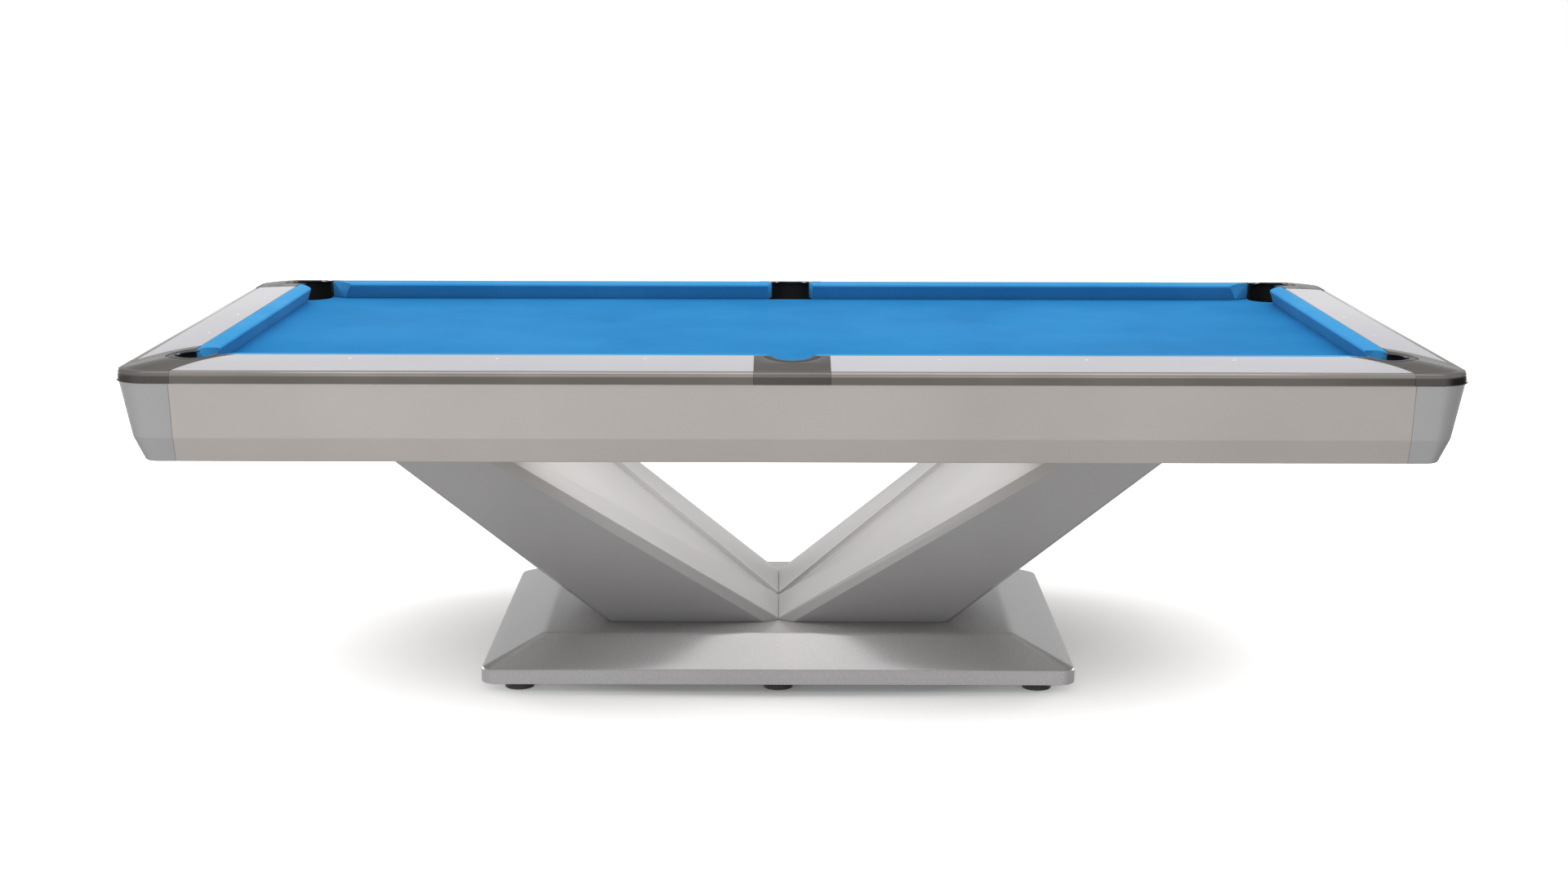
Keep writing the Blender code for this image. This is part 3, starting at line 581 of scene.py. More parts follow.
def makeCushions():
    s = cushionSettings
    profile = cushionProfile()
    sideCut = lambda o: s["sideNose"] + s["sideRun"] * o
    cornerCut = lambda reach: lambda o: reach - s["cornerCut"] + s["cornerRun"] * o
    for label, startOf, endOf, place in railRuns(sideCut, cornerCut(plan["playX"]), cornerCut(plan["playY"])):
        obj = bar("cushion_" + label + "_cloth", profile, startOf, endOf, place, "cushionCloth", s["edge"])
        attach(obj, tableBody, ["cushion_" + label])


makeBedCloth()
makeCushions()
print("cloth ready")


railSettings = {"stations": 18, "edge": 0.0007}
# the gap between laminate and metal holds a dark strip that paints its shadow; the three keys after shadowGap
# size that strip
edgeSettings = {"roundRadius": 0.012, "roundZ": 0.784, "fillet": 0.0035, "edge": 0.0005,
                "shadowGap": 0.0018, "shadowStripShows": 0.0012, "shadowStripDepth": 0.010, "shadowStripEdge": 0.0002,
                "lip": 0.0015}


def railProfile():
    s = railSettings
    inner = plan["cushionWidth"] + plan["gap"]
    outer = plan["railOuter"] - plan["gap"]
    e = s["edge"]
    points = [(inner, railHeight(inner) - e), (inner + 0.3 * e, railHeight(inner) - 0.3 * e)]
    for i in range(s["stations"] + 1):
        o = inner + e + (outer - inner - 2 * e) * i / s["stations"]
        points.append((o, railHeight(o)))
    points += [(outer - 0.3 * e, railHeight(outer) - 0.3 * e), (outer, railHeight(outer) - e)]
    return points + [(outer, plan["railBottomZ"]), (inner, plan["railBottomZ"])]


def makeRails():
    profile = railProfile()
    sideEnd = lambda o: plan["sideHalf"] + plan["gap"]
    hornCut = lambda reach, horn: lambda o: reach - hornAt(horn, o) - plan["gap"]
    runs = railRuns(sideEnd, hornCut(plan["playX"], hornLong), hornCut(plan["playY"], hornEnd))
    for label, startOf, endOf, place in runs:
        obj = bar("railTop_" + label, profile, startOf, endOf, place, "laminate", railSettings["edge"])
        attach(obj, tableBody, ["rail_" + label])


def metalEdge():
    # outline of the metal edge from its lower corner, up and over to the laminate
    s = edgeSettings
    low = arc(plan["edgeOut"] - s["fillet"], plan["edgeBottomZ"] + s["fillet"], s["fillet"], -90, 0, 5)
    high = arc(plan["edgeOut"] - s["roundRadius"], s["roundZ"], s["roundRadius"], 0, 90, 10)
    return low + high


def trimProfile():
    s = edgeSettings
    inner = plan["railOuter"] + s["shadowGap"]
    z = railHeight(plan["railOuter"])
    drop = s["shadowStripShows"]
    lip = [(inner + s["lip"], z - drop), (inner, z - drop - 0.8 * s["lip"]), (inner, plan["edgeBottomZ"])]
    return metalEdge() + lip


def shadowStripProfile():
    # painted shadow: a dark strip fills the gap between laminate and metal, standing a little above the metal
    s = edgeSettings
    clear = 0.0001
    low = plan["railOuter"] + clear
    high = plan["railOuter"] + s["shadowGap"] - clear
    z = railHeight(plan["railOuter"])
    base = z - s["shadowStripDepth"]
    top = z - 2 * clear
    return [(low, base), (high, base), (high, top - 0.0004), (high - 0.0005, top), (low, top)]


def makeTrims():
    profile = trimProfile()
    bead = shadowStripProfile()
    sideEnd = lambda o: plan["sideHalf"] + plan["gap"]
    cornerEnd = lambda seam: lambda o: seam - plan["gap"]
    runs = railRuns(sideEnd, cornerEnd(plan["seamX"]), cornerEnd(plan["seamY"]))
    for label, startOf, endOf, place in runs:
        obj = bar("edgeTrim_" + label, profile, startOf, endOf, place, "trim", edgeSettings["edge"])
        attach(obj, tableBody, ["trim_" + label])
        # a dark strip painted as the shadow of the gap between laminate and trim
        obj = bar("edgeShadowStrip_" + label, bead, startOf, endOf, place, "bead", edgeSettings["shadowStripEdge"])
        attach(obj, tableBody)


makeRails()
makeTrims()
print("rails and trims ready")


castingSettings = {"turnSteps": 24, "boreClear": 0.0005, "bevel": 0.0009, "cutLowZ": 0.70,
                   "cutHighZ": 0.90, "cutOver": 0.01, "past": 0.02}


def roundedRing(offset, z):
    radius = max(plan["cornerRadius"] - (plan["edgeOut"] - offset), 0.25 * offset)
    halfX = plan["playX"] + offset - radius
    halfY = plan["playY"] + offset - radius
    return [(x, y, z) for x, y in roundedRectangle(0.0, halfX, halfY, radius, castingSettings["turnSteps"])]


def topShell():
    inner = plan["cushionWidth"]
    outer = plan["railOuter"]
    stations = [outer - (outer - inner) * i / 14 for i in range(15)]
    sections = metalEdge() + [(o, railHeight(o)) for o in stations]
    return makePiece("topShell", *skin([roundedRing(o, z) for o, z in sections]), None)


def prism(name, outline, low, high):
    rings = [[(x, y, z) for x, y in outline] for z in (low, high)]
    return makePiece(name, *skin(rings), None)


def cornerFootprint(sx, sy):
    far = plan["edgeOut"] + castingSettings["past"]
    inner = plan["cushionWidth"] + plan["gap"]
    outline = [(plan["playX"] - a, plan["playY"] + o) for a, o in hornLong]
    outline += [(plan["seamX"], plan["playY"] + far), (plan["playX"] + far, plan["playY"] + far),
                (plan["playX"] + far, plan["seamY"])]
    outline += [(plan["playX"] + o, plan["playY"] - a) for a, o in reversed(hornEnd)]
    outline.append((plan["playX"] + inner, plan["playY"] + inner))
    return [(sx * x, sy * y) for x, y in outline]


def sideFootprint(side):
    half = plan["sideHalf"]
    low = plan["playY"] + plan["cushionWidth"] + plan["gap"]
    high = plan["playY"] + plan["edgeOut"] + castingSettings["past"]
    return [(-half, side * low), (half, side * low), (half, side * high), (-half, side * high)]


def makeCasting(label, shell, outline):
    s = castingSettings
    obj = bpy.data.objects.new("casting_" + label + "_metal", shell.data.copy())
    bpy.context.scene.collection.objects.link(obj)
    low, high, over = s["cutLowZ"], s["cutHighZ"], s["cutOver"]
    area = prism("area", outline, low, high)
    bore = prism("bore", pocketRing(label, pocketRadius + s["boreClear"], 96), low - over, high + over)
    for cutter, operation in ((area, "INTERSECT"), (bore, "DIFFERENCE")):
        mod = obj.modifiers.new(operation, "BOOLEAN")
        mod.operation = operation
        mod.solver = "EXACT"
        mod.object = cutter
    bake(obj)
    for cutter in (area, bore):
        bpy.data.objects.remove(cutter, do_unlink=True)
    paint(obj, "casting")
    easeEdges(obj, s["bevel"], 3, 42, 35)
    attach(obj, tableBody, ["casting_" + label])


def makeCastings():
    shell = topShell()
    for label, (sx, sy) in corners.items():
        makeCasting(label, shell, cornerFootprint(sx, sy))
    for label, side in longSides.items():
        makeCasting("side_" + label, shell, sideFootprint(side))
    bpy.data.objects.remove(shell, do_unlink=True)


makeCastings()
print("castings ready")


pocketSettings = {"ringInner": 0.0430, "ringOuter": 0.0609, "ringThick": 0.0030, "ringDrop": 0.0006,
                  "ringEase": 0.0012, "cornerReach": -0.0318, "sideReach": 0.0025, "steps": 72,
                  "wall": 0.003, "floorZ": 0.652, "lipDrop": 0.002, "lipEase": 0.0008}


def surfaceHeight(x, y):
    # height of the table top's surface near a pocket
    dx = max(abs(x) - plan["playX"], 0.0)
    dy = max(abs(y) - plan["playY"], 0.0)
    return railHeight(math.pow(dx ** 8 + dy ** 8, 1 / 8))


def pocketFrame(label):
    # centre, outward direction, the direction across it, and how far out the ring starts
    centre = Vector(pocketCentre(label))
    if label.startswith("side"):
        out = Vector((0.0, math.copysign(1.0, centre.y)))
        reach = pocketSettings["sideReach"]
    else:
        out = Vector((math.copysign(1.0, centre.x), math.copysign(1.0, centre.y))).normalized()
        reach = pocketSettings["cornerReach"]
    return centre, out, Vector((-out.y, out.x)), reach


def makeRing(label):
    s = pocketSettings
    centre, out, across, reach = pocketFrame(label)
    e = s["ringEase"]
    inner, outer = s["ringInner"], s["ringOuter"]
    profile = [(inner, -s["ringThick"]), (inner, -e), (inner + 0.3 * e, -0.3 * e), (inner + e, 0.0)]
    profile += [(outer - e, 0.0), (outer - 0.3 * e, -0.3 * e), (outer, -e), (outer, -s["ringThick"])]
    rings = []
    for i in range(s["steps"] + 1):
        ring = []
        for radius, z in profile:
            turn = math.acos((reach + 0.0002) / radius) * (2 * i / s["steps"] - 1)
            p = centre + out * (radius * math.cos(turn)) + across * (radius * math.sin(turn))
            ring.append((p.x, p.y, surfaceHeight(p.x, p.y) - s["ringDrop"] + z))
        rings.append(ring)
    obj = makePiece("pocketRing_" + label, *skin(rings), "ring")
    attach(obj, tableBody)


def makeBucket(label):
    s = pocketSettings
    centre, out, across, reach = pocketFrame(label)
    lip = plan["bedZ"] - s["lipDrop"]
    wall, floor, ease = s["wall"], s["floorZ"], s["lipEase"]
    # (depth inside the liner's radius, height, whether the height counts from the rim)
    levels = [(0.008, floor, False), (0.002, floor + 0.002, False), (0.0, floor + 0.008, False),
              (0.0, 0.0, True), (ease, ease, True), (wall - ease, ease, True), (wall, 0.0, True),
              (wall, floor + 0.010, False), (0.005, floor + 0.005, False), (0.011, floor + 0.003, False)]
    rings = []
    for depth, z, atRim in levels:
        ring = []
        for x, y in pocketRing(label, pocketRadius - depth, 144):
            past = (Vector((x, y)) - centre).dot(out) - reach
            height = z
            if atRim:
                under = surfaceHeight(x, y) - s["ringDrop"] - s["ringThick"] - s["ringEase"]
                height = z + (under if past > 0.0 else lip - ease)
            ring.append((x, y, height))
        rings.append(ring)
    obj = makePiece("pocketBucket_" + label, *skin(rings), "rubber", 45.0)
    attach(obj, tableBody, ["liner_" + label])


for label in (*corners, "side_front", "side_back"):
    makeRing(label)
    makeBucket(label)
print("pockets ready")


# levels hold the offset and the plan radius at the top, the crease and the foot
apronSettings = {"thick": 0.016, "seamX": 1.323, "seamY": 0.688, "crease": 0.004, "footRound": 0.005,
                 "levels": ((0.172, 0.066), (0.148, 0.046), (0.124, 0.030)), "creaseZ": 0.647,
                 "edge": 0.0008, "turnSteps": 20}


def apronSection(steps=4):
    # the apron's closed section as (offset, height, plan radius), with the crease and foot eased
    s = apronSettings
    low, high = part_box("apron_front")
    (topOut, topR), (creaseOut, creaseR), (footOut, footR) = s["levels"]
    top = Vector((topOut, high.z, topR))
    crease = Vector((creaseOut, s["creaseZ"], creaseR))
    foot = Vector((footOut, low.z, footR))
    up = (top - crease).normalized()
    down = (foot - crease).normalized()
    outer = [top]
    for i in range(steps + 1):
        t = i / steps
        a = crease + up * s["crease"]
        b = crease + down * s["crease"]
        outer.append(a.lerp(crease, t).lerp(crease.lerp(b, t), t))
    for i in range(steps + 1):
        t = i / steps
        a = foot - down * s["footRound"]
        b = Vector((footOut - s["footRound"], low.z, footR - 0.6 * s["footRound"]))
        outer.append(a.lerp(foot, t).lerp(foot.lerp(b, t), t))
    inner = [Vector((o - s["thick"], z, max(r - s["thick"], 0.002))) for o, z, r in
             (tuple(foot), tuple(crease), tuple(top))]
    return [tuple(p) for p in outer + inner]


def makeAprons():
    s = apronSettings
    profile = [(o, z) for o, z, r in apronSection()]
    runs = [(label, s["seamX"], onLongSide(side)) for label, side in longSides.items()]
    runs += [(label, s["seamY"], onEnd(side)) for label, side in ends.items()]
    for label, half, place in runs:
        obj = bar("apronPanel_" + label, profile, lambda o: -half, lambda o: half, place, "apron", s["edge"])
        attach(obj, tableBody, ["apron_" + label])


def makeApronCorner(label, sx, sy):
    s = apronSettings
    edge = s["edge"]
    sections = apronSection()
    flat = [(o, z) for o, z, r in sections]
    stations = [(0.0, 1.0), (0.3, 0.3), (1.0, 0.0)]
    rings = []

    def ringAt(walk, shrink):
        ring = []
        for (o, z, r), (io, iz) in zip(sections, inset(flat, edge * shrink)):
            r = max(r, 0.002)
            ring.append((*walk(io, max(r + io - o, 0.001)), iz))
        return [(sx * x, sy * y, z) for x, y, z in ring]

    for run, shrink in stations:
        x = s["seamX"] + plan["gap"] + run * edge
        rings.append(ringAt(lambda o, r: (x, plan["playY"] + o), shrink))
    for i in range(s["turnSteps"] + 1):
        a = math.radians(90 - 90 * i / s["turnSteps"])
        rings.append(ringAt(lambda o, r: (plan["playX"] + o - r + r * math.cos(a),
                                          plan["playY"] + o - r + r * math.sin(a)), 0.0))
    for run, shrink in reversed(stations):
        y = s["seamY"] + plan["gap"] + run * edge
        rings.append(ringAt(lambda o, r: (plan["playX"] + o, y), shrink))
    obj = makePiece("apronCorner_" + label, *skin(rings), "apronCorner")
    attach(obj, tableBody, ["apron_corner_" + label])


makeAprons()
for label, (sx, sy) in corners.items():
    makeApronCorner(label, sx, sy)
print("apron ready")


def mergedCopy(node):
    bm = bmesh.new()
    bm.from_mesh(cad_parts[node].data)
    bmesh.ops.remove_doubles(bm, verts=bm.verts, dist=0.00002)
    bmesh.ops.dissolve_limit(bm, angle_limit=math.radians(0.5), verts=bm.verts, edges=bm.edges)
    mesh = bpy.data.meshes.new(node + "Copy")
    bm.to_mesh(mesh)
    bm.free()
    return mesh


def softened(node, name, finish, width, segments=3):
    # a CAD node's own shape with flat faces joined and every edge eased
    obj = bpy.data.objects.new(name, mergedCopy(node))
    bpy.context.scene.collection.objects.link(obj)
    paint(obj, finish)
    easeEdges(obj, width, segments, 25, 30)
    attach(obj, tableBody, [node])


def makePedestal():
    for label in ends:
        softened("leg_" + label, "legCasing_" + label, "leg", 0.0013)
    softened("cabinet_frame", "cabinetBeams", "timber", 0.002, 2)
    for label in ("left", "centre", "right"):
        softened("slate_" + label, "slateSlab_" + label, "slate", 0.0008, 2)
    softened("plinth_plate", "basePlate", "plate", 0.0006, 2)


plinthSettings = {"insetX": 0.1337, "insetY": 0.1277, "rimZ": 0.0563, "rimRadius": 0.036, "rimEase": 0.0045,
                  "bottomEase": 0.003, "topEase": 0.010, "topRadius": 0.016, "seatInset": 0.0195,
                  "seatDepth": 0.0063, "turnSteps": 16}


def makePlinth():
    s = plinthSettings
    low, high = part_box("plinth")
    cx = (low.x + high.x) / 2
    halfX = (high.x - low.x) / 2
    halfY = (high.y - low.y) / 2

    def ring(run, z, radius):
        # run goes from 0 at the rim to 1 at the flat top
        hx = halfX - run * s["insetX"] - radius
        hy = halfY - run * s["insetY"] - radius
        return [(x, y, z) for x, y in roundedRectangle(cx, hx, hy, radius, s["turnSteps"])]

    r = s["rimRadius"]
    e = s["bottomEase"]
    seat = low.z + s["seatDepth"]
    inner = s["seatInset"] / s["insetX"]
    rings = [ring(inner, seat, 0.004), ring(inner, low.z, 0.004)]
    for angle in (0, 30, 60, 90):
        a = math.radians(angle)
        rings.append(ring(e * (1 - math.sin(a)) / s["insetX"], low.z + e * (1 - math.cos(a)), r))
    rise = high.z - s["rimZ"]
    slope = lambda t: (t, s["rimZ"] + t * rise, r + t * (s["topRadius"] - r))
    ease = s["rimEase"] / s["insetX"]
    start = (0.0, s["rimZ"] - s["rimEase"], r)
    knee = (0.0, s["rimZ"], r)
    leave = slope(ease)
    for i in range(6):
        t = i / 5
        rings.append(ring(*quadratic(start, knee, leave, t)))
    for t in (0.25, 0.5, 0.75):
        rings.append(ring(*slope(t)))
    ease = s["topEase"] / s["insetX"]
    start = slope(1.0 - ease)
    knee = slope(1.0)
    leave = (1.0 + ease, high.z, s["topRadius"] - 0.003)
    for i in range(7):
        rings.append(ring(*quadratic(start, knee, leave, i / 6)))
    obj = makePiece("plinthBody", *skin(rings), "plinth", 50.0)
    attach(obj, tableBody, ["plinth"])


makePedestal()
makePlinth()
print("pedestal ready")


footSettings = {"grips": 24, "gripDepth": 0.0005, "threadPitch": 0.002, "threadDepth": 0.0009,
                "threadRadius": 0.0080, "nutTop": 0.0190, "nutRadius": 0.0120}


def turned(name, profile, cx, cy, steps, finish, ripple=None):
    # a piece turned about an upright line. ripple(angle, radius) may scallop the outside
    rings = []
    for radius, z in profile:
        ring = []
        for i in range(steps):
            a = 2 * math.pi * i / steps
            r = radius if ripple is None else ripple(a, radius)
            ring.append((cx + r * math.cos(a), cy + r * math.sin(a), z))
        rings.append(ring)
    return makePiece(name, *skin(rings), finish)


def makeFeet():
    s = footSettings
    for label in (r + "_" + c for r in longSides for c in ("left", "centre", "right")):
        low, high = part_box("foot_pad_" + label)
        cx = (low.x + high.x) / 2
        cy = (low.y + high.y) / 2
        radius = (high.x - low.x) / 2
        top = high.z
        profile = [(radius - 0.002, 0.0), (radius - 0.0006, 0.0006), (radius, 0.002), (radius, 0.0090),
                   (radius - 0.0006, 0.0105), (radius - 0.003, 0.0140), (radius - 0.0055, top - 0.001),
                   (radius - 0.0070, top), (0.0150, top), (0.0141, top - 0.0009), (0.0141, 0.0092)]

        def grip(a, r):
            return r - s["gripDepth"] * (r > 0.030) * (1 - math.cos(s["grips"] * a))

        pad = turned("levellingPad_" + label, profile, cx, cy, 96, "pad", grip)
        attach(pad, "pad " + label, ["foot_pad_" + label])
        low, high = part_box("foot_stud_" + label)
        ease = 0.0008
        nut, top = s["nutRadius"], s["nutTop"]
        sides = [(nut - ease, low.z), (nut, low.z + ease), (nut, top - ease), (nut - ease, top)]
        hexagon = turned("studNut_" + label, sides, cx, cy, 6, "stud")
        thread = []
        pitch, crest = s["threadPitch"], s["threadRadius"]
        for i in range(int((high.z - top) / pitch) - 1):
            z = top + 0.0001 + i * pitch
            thread += [(crest - s["threadDepth"], z), (crest, z + 0.4 * pitch), (crest, z + 0.55 * pitch)]
        thread += [(crest - 0.001, thread[-1][1] + ease), (crest - 0.0025, high.z)]
        shank = turned("studThread_" + label, thread, cx, cy, 24, "stud")
        attach(hexagon, "stud " + label, ["foot_stud_" + label])
        attach(shank, "stud " + label)


makeFeet()
print("feet ready")


def fastenerTree(name, finish, sides, discSides):
    # stands a short headed cylinder on a disc at every point, along each point's facing
    tree = bpy.data.node_groups.new(name, "GeometryNodeTree")
    tree.interface.new_socket("Geometry", in_out="INPUT", socket_type="NodeSocketGeometry")
    for label in ("Head radius", "Head height", "Disc radius", "Disc height"):
        tree.interface.new_socket(label, in_out="INPUT", socket_type="NodeSocketFloat")
    tree.interface.new_socket("Geometry", in_out="OUTPUT", socket_type="NodeSocketGeometry")
    given = addNode(tree, "NodeGroupInput").outputs
    solids = []
    for count, radius, height in ((sides, "Head radius", "Head height"),
                                  (discSides, "Disc radius", "Disc height")):
        links = {"Radius": given[radius], "Depth": given[height]}
        solid = addNode(tree, "GeometryNodeMeshCylinder", {"Vertices": count}, links).outputs["Mesh"]
        half = addNode(tree, "ShaderNodeMath", {"operation": "MULTIPLY", 1: 0.5}, {0: given[height]})
        lift = addNode(tree, "ShaderNodeCombineXYZ", None, {"Z": half.outputs[0]})
        moved = addNode(tree, "GeometryNodeTransform", None,
                        {"Geometry": solid, "Translation": lift.outputs[0]})
        solids.append(moved.outputs["Geometry"])
    joined = addNode(tree, "GeometryNodeJoinGeometry")
    for solid in solids:
        tree.links.new(solid, joined.inputs["Geometry"])
    named = {"data_type": "FLOAT_VECTOR", "Name": "facing"}
    facing = addNode(tree, "GeometryNodeInputNamedAttribute", named)
    turn = addNode(tree, "FunctionNodeAlignRotationToVector", {"axis": "Z"},
                   {"Vector": facing.outputs["Attribute"]})
    placed = addNode(tree, "GeometryNodeInstanceOnPoints", None,
                     {"Points": given["Geometry"], "Instance": joined.outputs["Geometry"],
                      "Rotation": turn.outputs["Rotation"]})
    real = addNode(tree, "GeometryNodeRealizeInstances", None, {"Geometry": placed.outputs["Instances"]})
    painted = addNode(tree, "GeometryNodeSetMaterial", {"Material": finishes[finish]},
                      {"Geometry": real.outputs["Geometry"]})
    addNode(tree, "NodeGroupOutput", None, {"Geometry": painted.outputs["Geometry"]})
    return tree


def placeFasteners(name, tree, spots, sizes, bevel):
    # spots are (place, facing) pairs; sizes go to the tree's named inputs
    mesh = bpy.data.meshes.new(name)
    mesh.from_pydata([place for place, facing in spots], [], [])
    facings = mesh.attributes.new("facing", "FLOAT_VECTOR", "POINT")
    for item, (place, facing) in zip(facings.data, spots):
        item.vector = facing
    obj = bpy.data.objects.new(name, mesh)
    bpy.context.scene.collection.objects.link(obj)
    mod = obj.modifiers.new("fasteners", "NODES")
    mod.node_group = tree
    for item in tree.interface.items_tree:
        if item.in_out == "INPUT" and item.name in sizes:
            mod[item.identifier] = sizes[item.name]
    bake(obj)
    easeEdges(obj, bevel, 2, 40, 35)
    return obj


sightSettings = {"offset": 0.0737, "sink": 0.0004}
railBoltSettings = {"out": 0.075, "alongX": (0.24, 0.86, 1.09), "alongY": (-0.42, 0.0, 0.42)}
plateScrewSettings = {"perRow": 6, "fromEnd": 0.05, "fromSide": 0.025}


def sightSpots():
    pitch = plan["playX"] / 4
    offset = sightSettings["offset"]
    slope = (railHeight(offset + 0.005) - railHeight(offset - 0.005)) / 0.010
    z = railHeight(offset) - sightSettings["sink"]
    spots = []
    for side in (-1, 1):
        for k in (-3, -2, -1, 1, 2, 3):
            spots.append(((k * pitch, side * (plan["playY"] + offset), z), (0.0, -side * slope, 1.0)))
        for k in (-1, 0, 1):
            spots.append(((side * (plan["playX"] + offset), k * pitch, z), (-side * slope, 0.0, 1.0)))
    return spots


def railBoltSpots():
    s = railBoltSettings
    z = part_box("slate_centre")[0].z - plan["gap"]
    spots = []
    for side in (-1, 1):
        for x in (*(-x for x in reversed(s["alongX"])), *s["alongX"]):
            spots.append(((x, side * (plan["playY"] + s["out"]), z), (0.0, 0.0, -1.0)))
        for y in s["alongY"]:
            spots.append(((side * (plan["playX"] + s["out"]), y, z), (0.0, 0.0, -1.0)))
    return spots


def plateScrewSpots():
    s = plateScrewSettings
    low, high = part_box("plinth_plate")
    spots = []
    for i in range(s["perRow"]):
        x = low.x + s["fromEnd"] + (high.x - low.x - 2 * s["fromEnd"]) * i / (s["perRow"] - 1)
        for y in (low.y + s["fromSide"], high.y - s["fromSide"]):
            spots.append(((x, y, low.z), (0.0, 0.0, -1.0)))
    return spots


def makeFasteners():
    sights = fastenerTree("railSights", "sight", 28, 28)
    sizes = {"Head radius": 0.0040, "Head height": 0.0008, "Disc radius": 0.0043, "Disc height": 0.0005}
    attach(placeFasteners("railSights", sights, sightSpots(), sizes, 0.00012), tableBody)
    bolts = fastenerTree("hexBolts", "stud", 6, 28)
    sizes = {"Head radius": 0.0095, "Head height": 0.0085, "Disc radius": 0.017, "Disc height": 0.002}
    attach(placeFasteners("railBolts", bolts, railBoltSpots(), sizes, 0.0004), tableBody)
    screws = fastenerTree("plateScrews", "stud", 20, 20)
    sizes = {"Head radius": 0.0050, "Head height": 0.0014, "Disc radius": 0.0056, "Disc height": 0.0006}
    attach(placeFasteners("plateScrews", screws, plateScrewSpots(), sizes, 0.0004), tableBody)


makeFasteners()
print("fasteners ready")


studioSettings = {"floorColour": "#E6E6E6", "floorGlow": 0.07, "farGlow": 0.62,
                  "overhead": 30, "frontHigh": 8, "backSides": 130, "frontLeft": 66, "frontRight": 34,
                  "horizonFill": 0.5, "zenithFill": 0.92,
                  "underFill": 6.4, "roomAbove": 0.68, "roomFront": 0.38, "roomBack": 1.04,
                  "roomBackLow": 0.42, "roomLeft": 0.65, "roomRight": 0.12,
                  "cameraPlace": (-0.0205, -6.0189, 1.611), "pitchDown": 10.448, "yaw": -0.036,
                  "roll": 0.135, "focal": 57.22}


def makeFloor():
    s = studioSettings
    size = 60.0
    outline = [(-size, -size, 0), (size, -size, 0), (size, size, 0), (-size, size, 0)]
    obj = makePiece("studioFloor", outline, [(0, 1, 2, 3)], None)
    material, tree, shader, place = startMaterial("paintedFloor", s["floorColour"], 0.75)
    shader.inputs["Emission Color"].default_value = (1.0, 1.0, 1.0, 1.0)
    # the glow fades in around the plinth, so that its contact shadow stays
    around = {"operation": "MULTIPLY", 1: (1 / 0.70, 1 / 0.52, 0.0)}
    offset = addNode(tree, "ShaderNodeVectorMath", around, {0: place}).outputs["Vector"]
    away = addNode(tree, "ShaderNodeVectorMath", {"operation": "LENGTH"}, {0: offset}).outputs["Value"]
    glow = spread(tree, away, s["floorGlow"], s["farGlow"], 0.98, 1.9)
    tree.links.new(glow, shader.inputs["Emission Strength"])
    obj.data.materials.append(material)
    obj.visible_glossy = False          # the metal mirrors the room, not the floor's glow


def makeLight(name, place, target, size, power, mirrored=True):
    light = bpy.data.lights.new(name, "AREA")
    light.shape = "RECTANGLE"
    light.size, light.size_y = size
    light.energy = power
    obj = bpy.data.objects.new(name, light)
    bpy.context.scene.collection.objects.link(obj)
    obj.location = place
    obj.rotation_euler = (Vector(target) - Vector(place)).to_track_quat("-Z", "Y").to_euler()
    obj.visible_camera = False
    obj.visible_glossy = mirrored


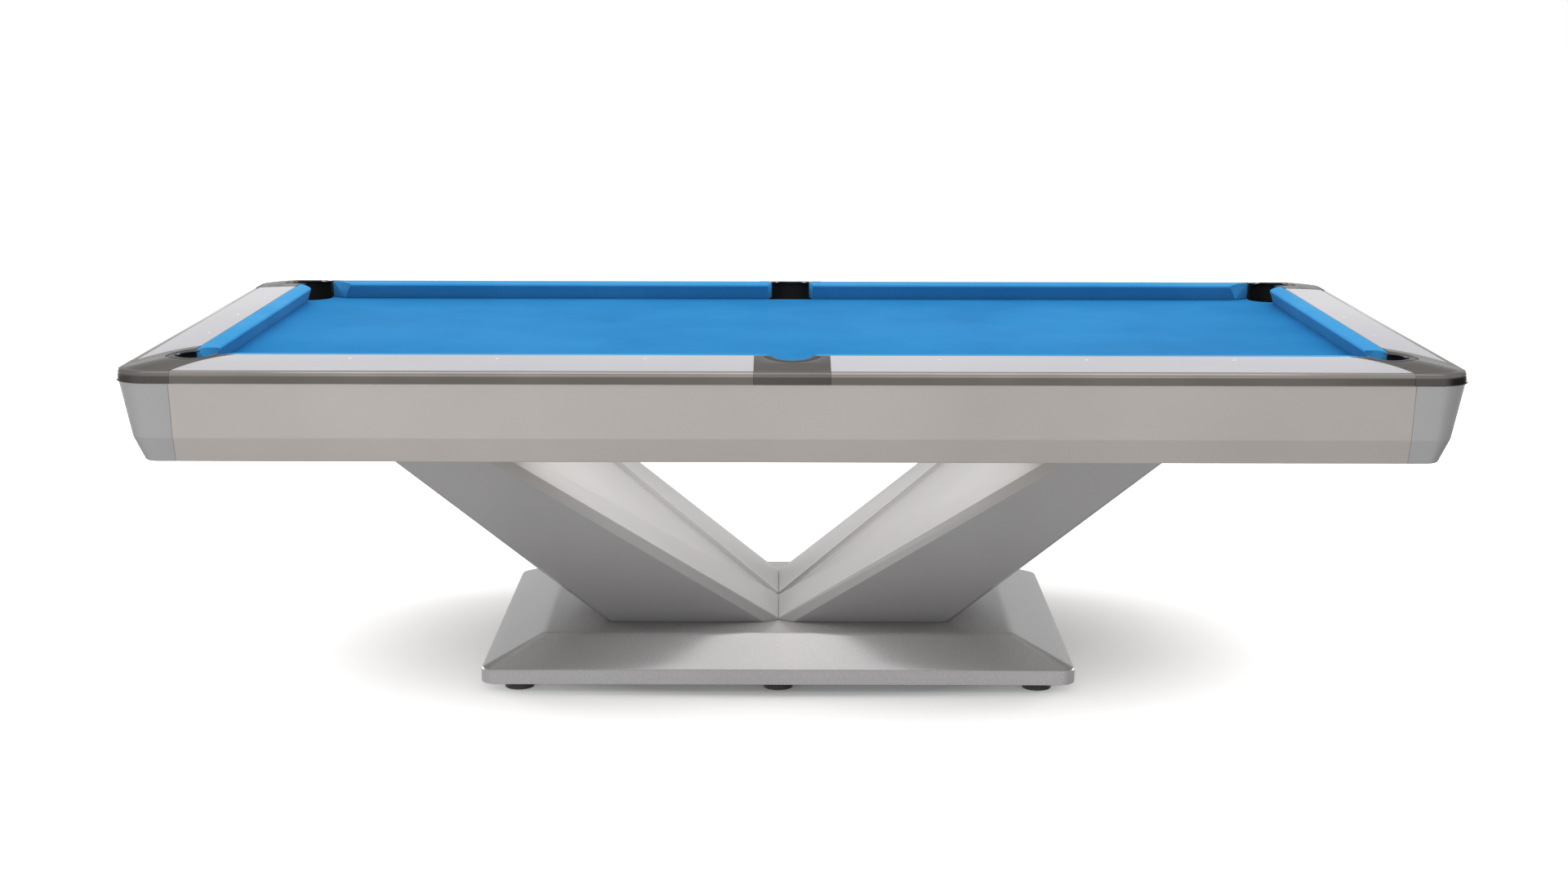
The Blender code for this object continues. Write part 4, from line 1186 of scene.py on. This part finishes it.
def makeWorld():
    # mirrored rays see a white room: bright behind above the floor, softer above, dim in front and right
    s = studioSettings
    world = bpy.data.worlds.new("studioWorld")
    bpy.context.scene.world = world
    world.use_nodes = True
    tree = world.node_tree
    way = addNode(tree, "ShaderNodeTexCoord").outputs["Generated"]
    axes = addNode(tree, "ShaderNodeSeparateXYZ", None, {"Vector": way}).outputs
    behind = spread(tree, axes["Y"], 0.0, 1.0, -0.35, 0.6)
    back = spread(tree, axes["Z"], s["roomBackLow"], s["roomBack"], -0.12, 0.02)
    front = {"data_type": "FLOAT", 2: s["roomFront"]}
    level = addNode(tree, "ShaderNodeMix", front, {0: behind, 3: back}).outputs[0]
    left = spread(tree, axes["X"], s["roomLeft"], 1.0, -0.95, -0.6)
    right = spread(tree, axes["X"], 1.0, s["roomRight"], 0.45, 0.75)
    horizon = combine(tree, level, combine(tree, left, right, "MULTIPLY"), "MULTIPLY")
    up = spread(tree, axes["Z"], 0.0, 1.0, 0.10, 0.55)
    above = {"data_type": "FLOAT", 3: s["roomAbove"]}
    room = addNode(tree, "ShaderNodeMix", above, {0: up, 2: horizon}).outputs[0]
    # all other light is a soft dome that is brightest overhead
    path = addNode(tree, "ShaderNodeLightPath").outputs
    dome = spread(tree, axes["Z"], s["horizonFill"], s["zenithFill"], 0.05, 0.8)
    seen = addNode(tree, "ShaderNodeMix", {"data_type": "FLOAT"},
                   {0: path["Is Glossy Ray"], 2: dome, 3: room}).outputs[0]
    seen = combine(tree, seen, path["Is Camera Ray"], "MAXIMUM")         # plain white beyond the floor
    tree.links.new(seen, tree.nodes["Background"].inputs["Strength"])
    tree.nodes["Background"].inputs["Color"].default_value = (1.0, 1.0, 1.0, 1.0)


def makeStudio():
    s = studioSettings
    makeWorld()
    makeLight("overheadSoft", (0.0, 0.4, 4.2), (0, 0.2, 0.5), (5.0, 3.0), s["overhead"])
    makeLight("frontHighSoft", (0.0, -4.6, 3.6), (0, 0, 0.6), (6.0, 2.0), s["frontHigh"])
    for side in (-1, 1):
        makeLight("backSideSoft", (side * 3.9, 2.4, 0.8), (0, 0, 0.35), (2.4, 1.5), s["backSides"])
        power = s["frontLeft"] if side < 0 else s["frontRight"]
        makeLight("frontSideSoft", (side * 3.2, -4.0, 0.72), (0, 0, 0.45), (2.0, 0.8), power, False)
    makeLight("underFill", (-0.03, 0.0, 0.60), (-0.03, 0.001, 0.0), (1.1, 0.9), s["underFill"])
    camera = bpy.data.cameras.new("studioCamera")
    camera.lens = s["focal"]
    camera.sensor_width = 36.0
    camera.clip_end = 200.0
    obj = bpy.data.objects.new("studioCamera", camera)
    bpy.context.scene.collection.objects.link(obj)
    obj.location = s["cameraPlace"]
    obj.rotation_euler = (math.radians(90 - s["pitchDown"]), 0.0, math.radians(s["yaw"]))
    obj.rotation_euler.rotate_axis("Z", math.radians(s["roll"]))
    bpy.context.scene.camera = obj
    bpy.context.scene.view_settings.view_transform = "Standard"


makeFloor()
makeStudio()
print("studio ready")
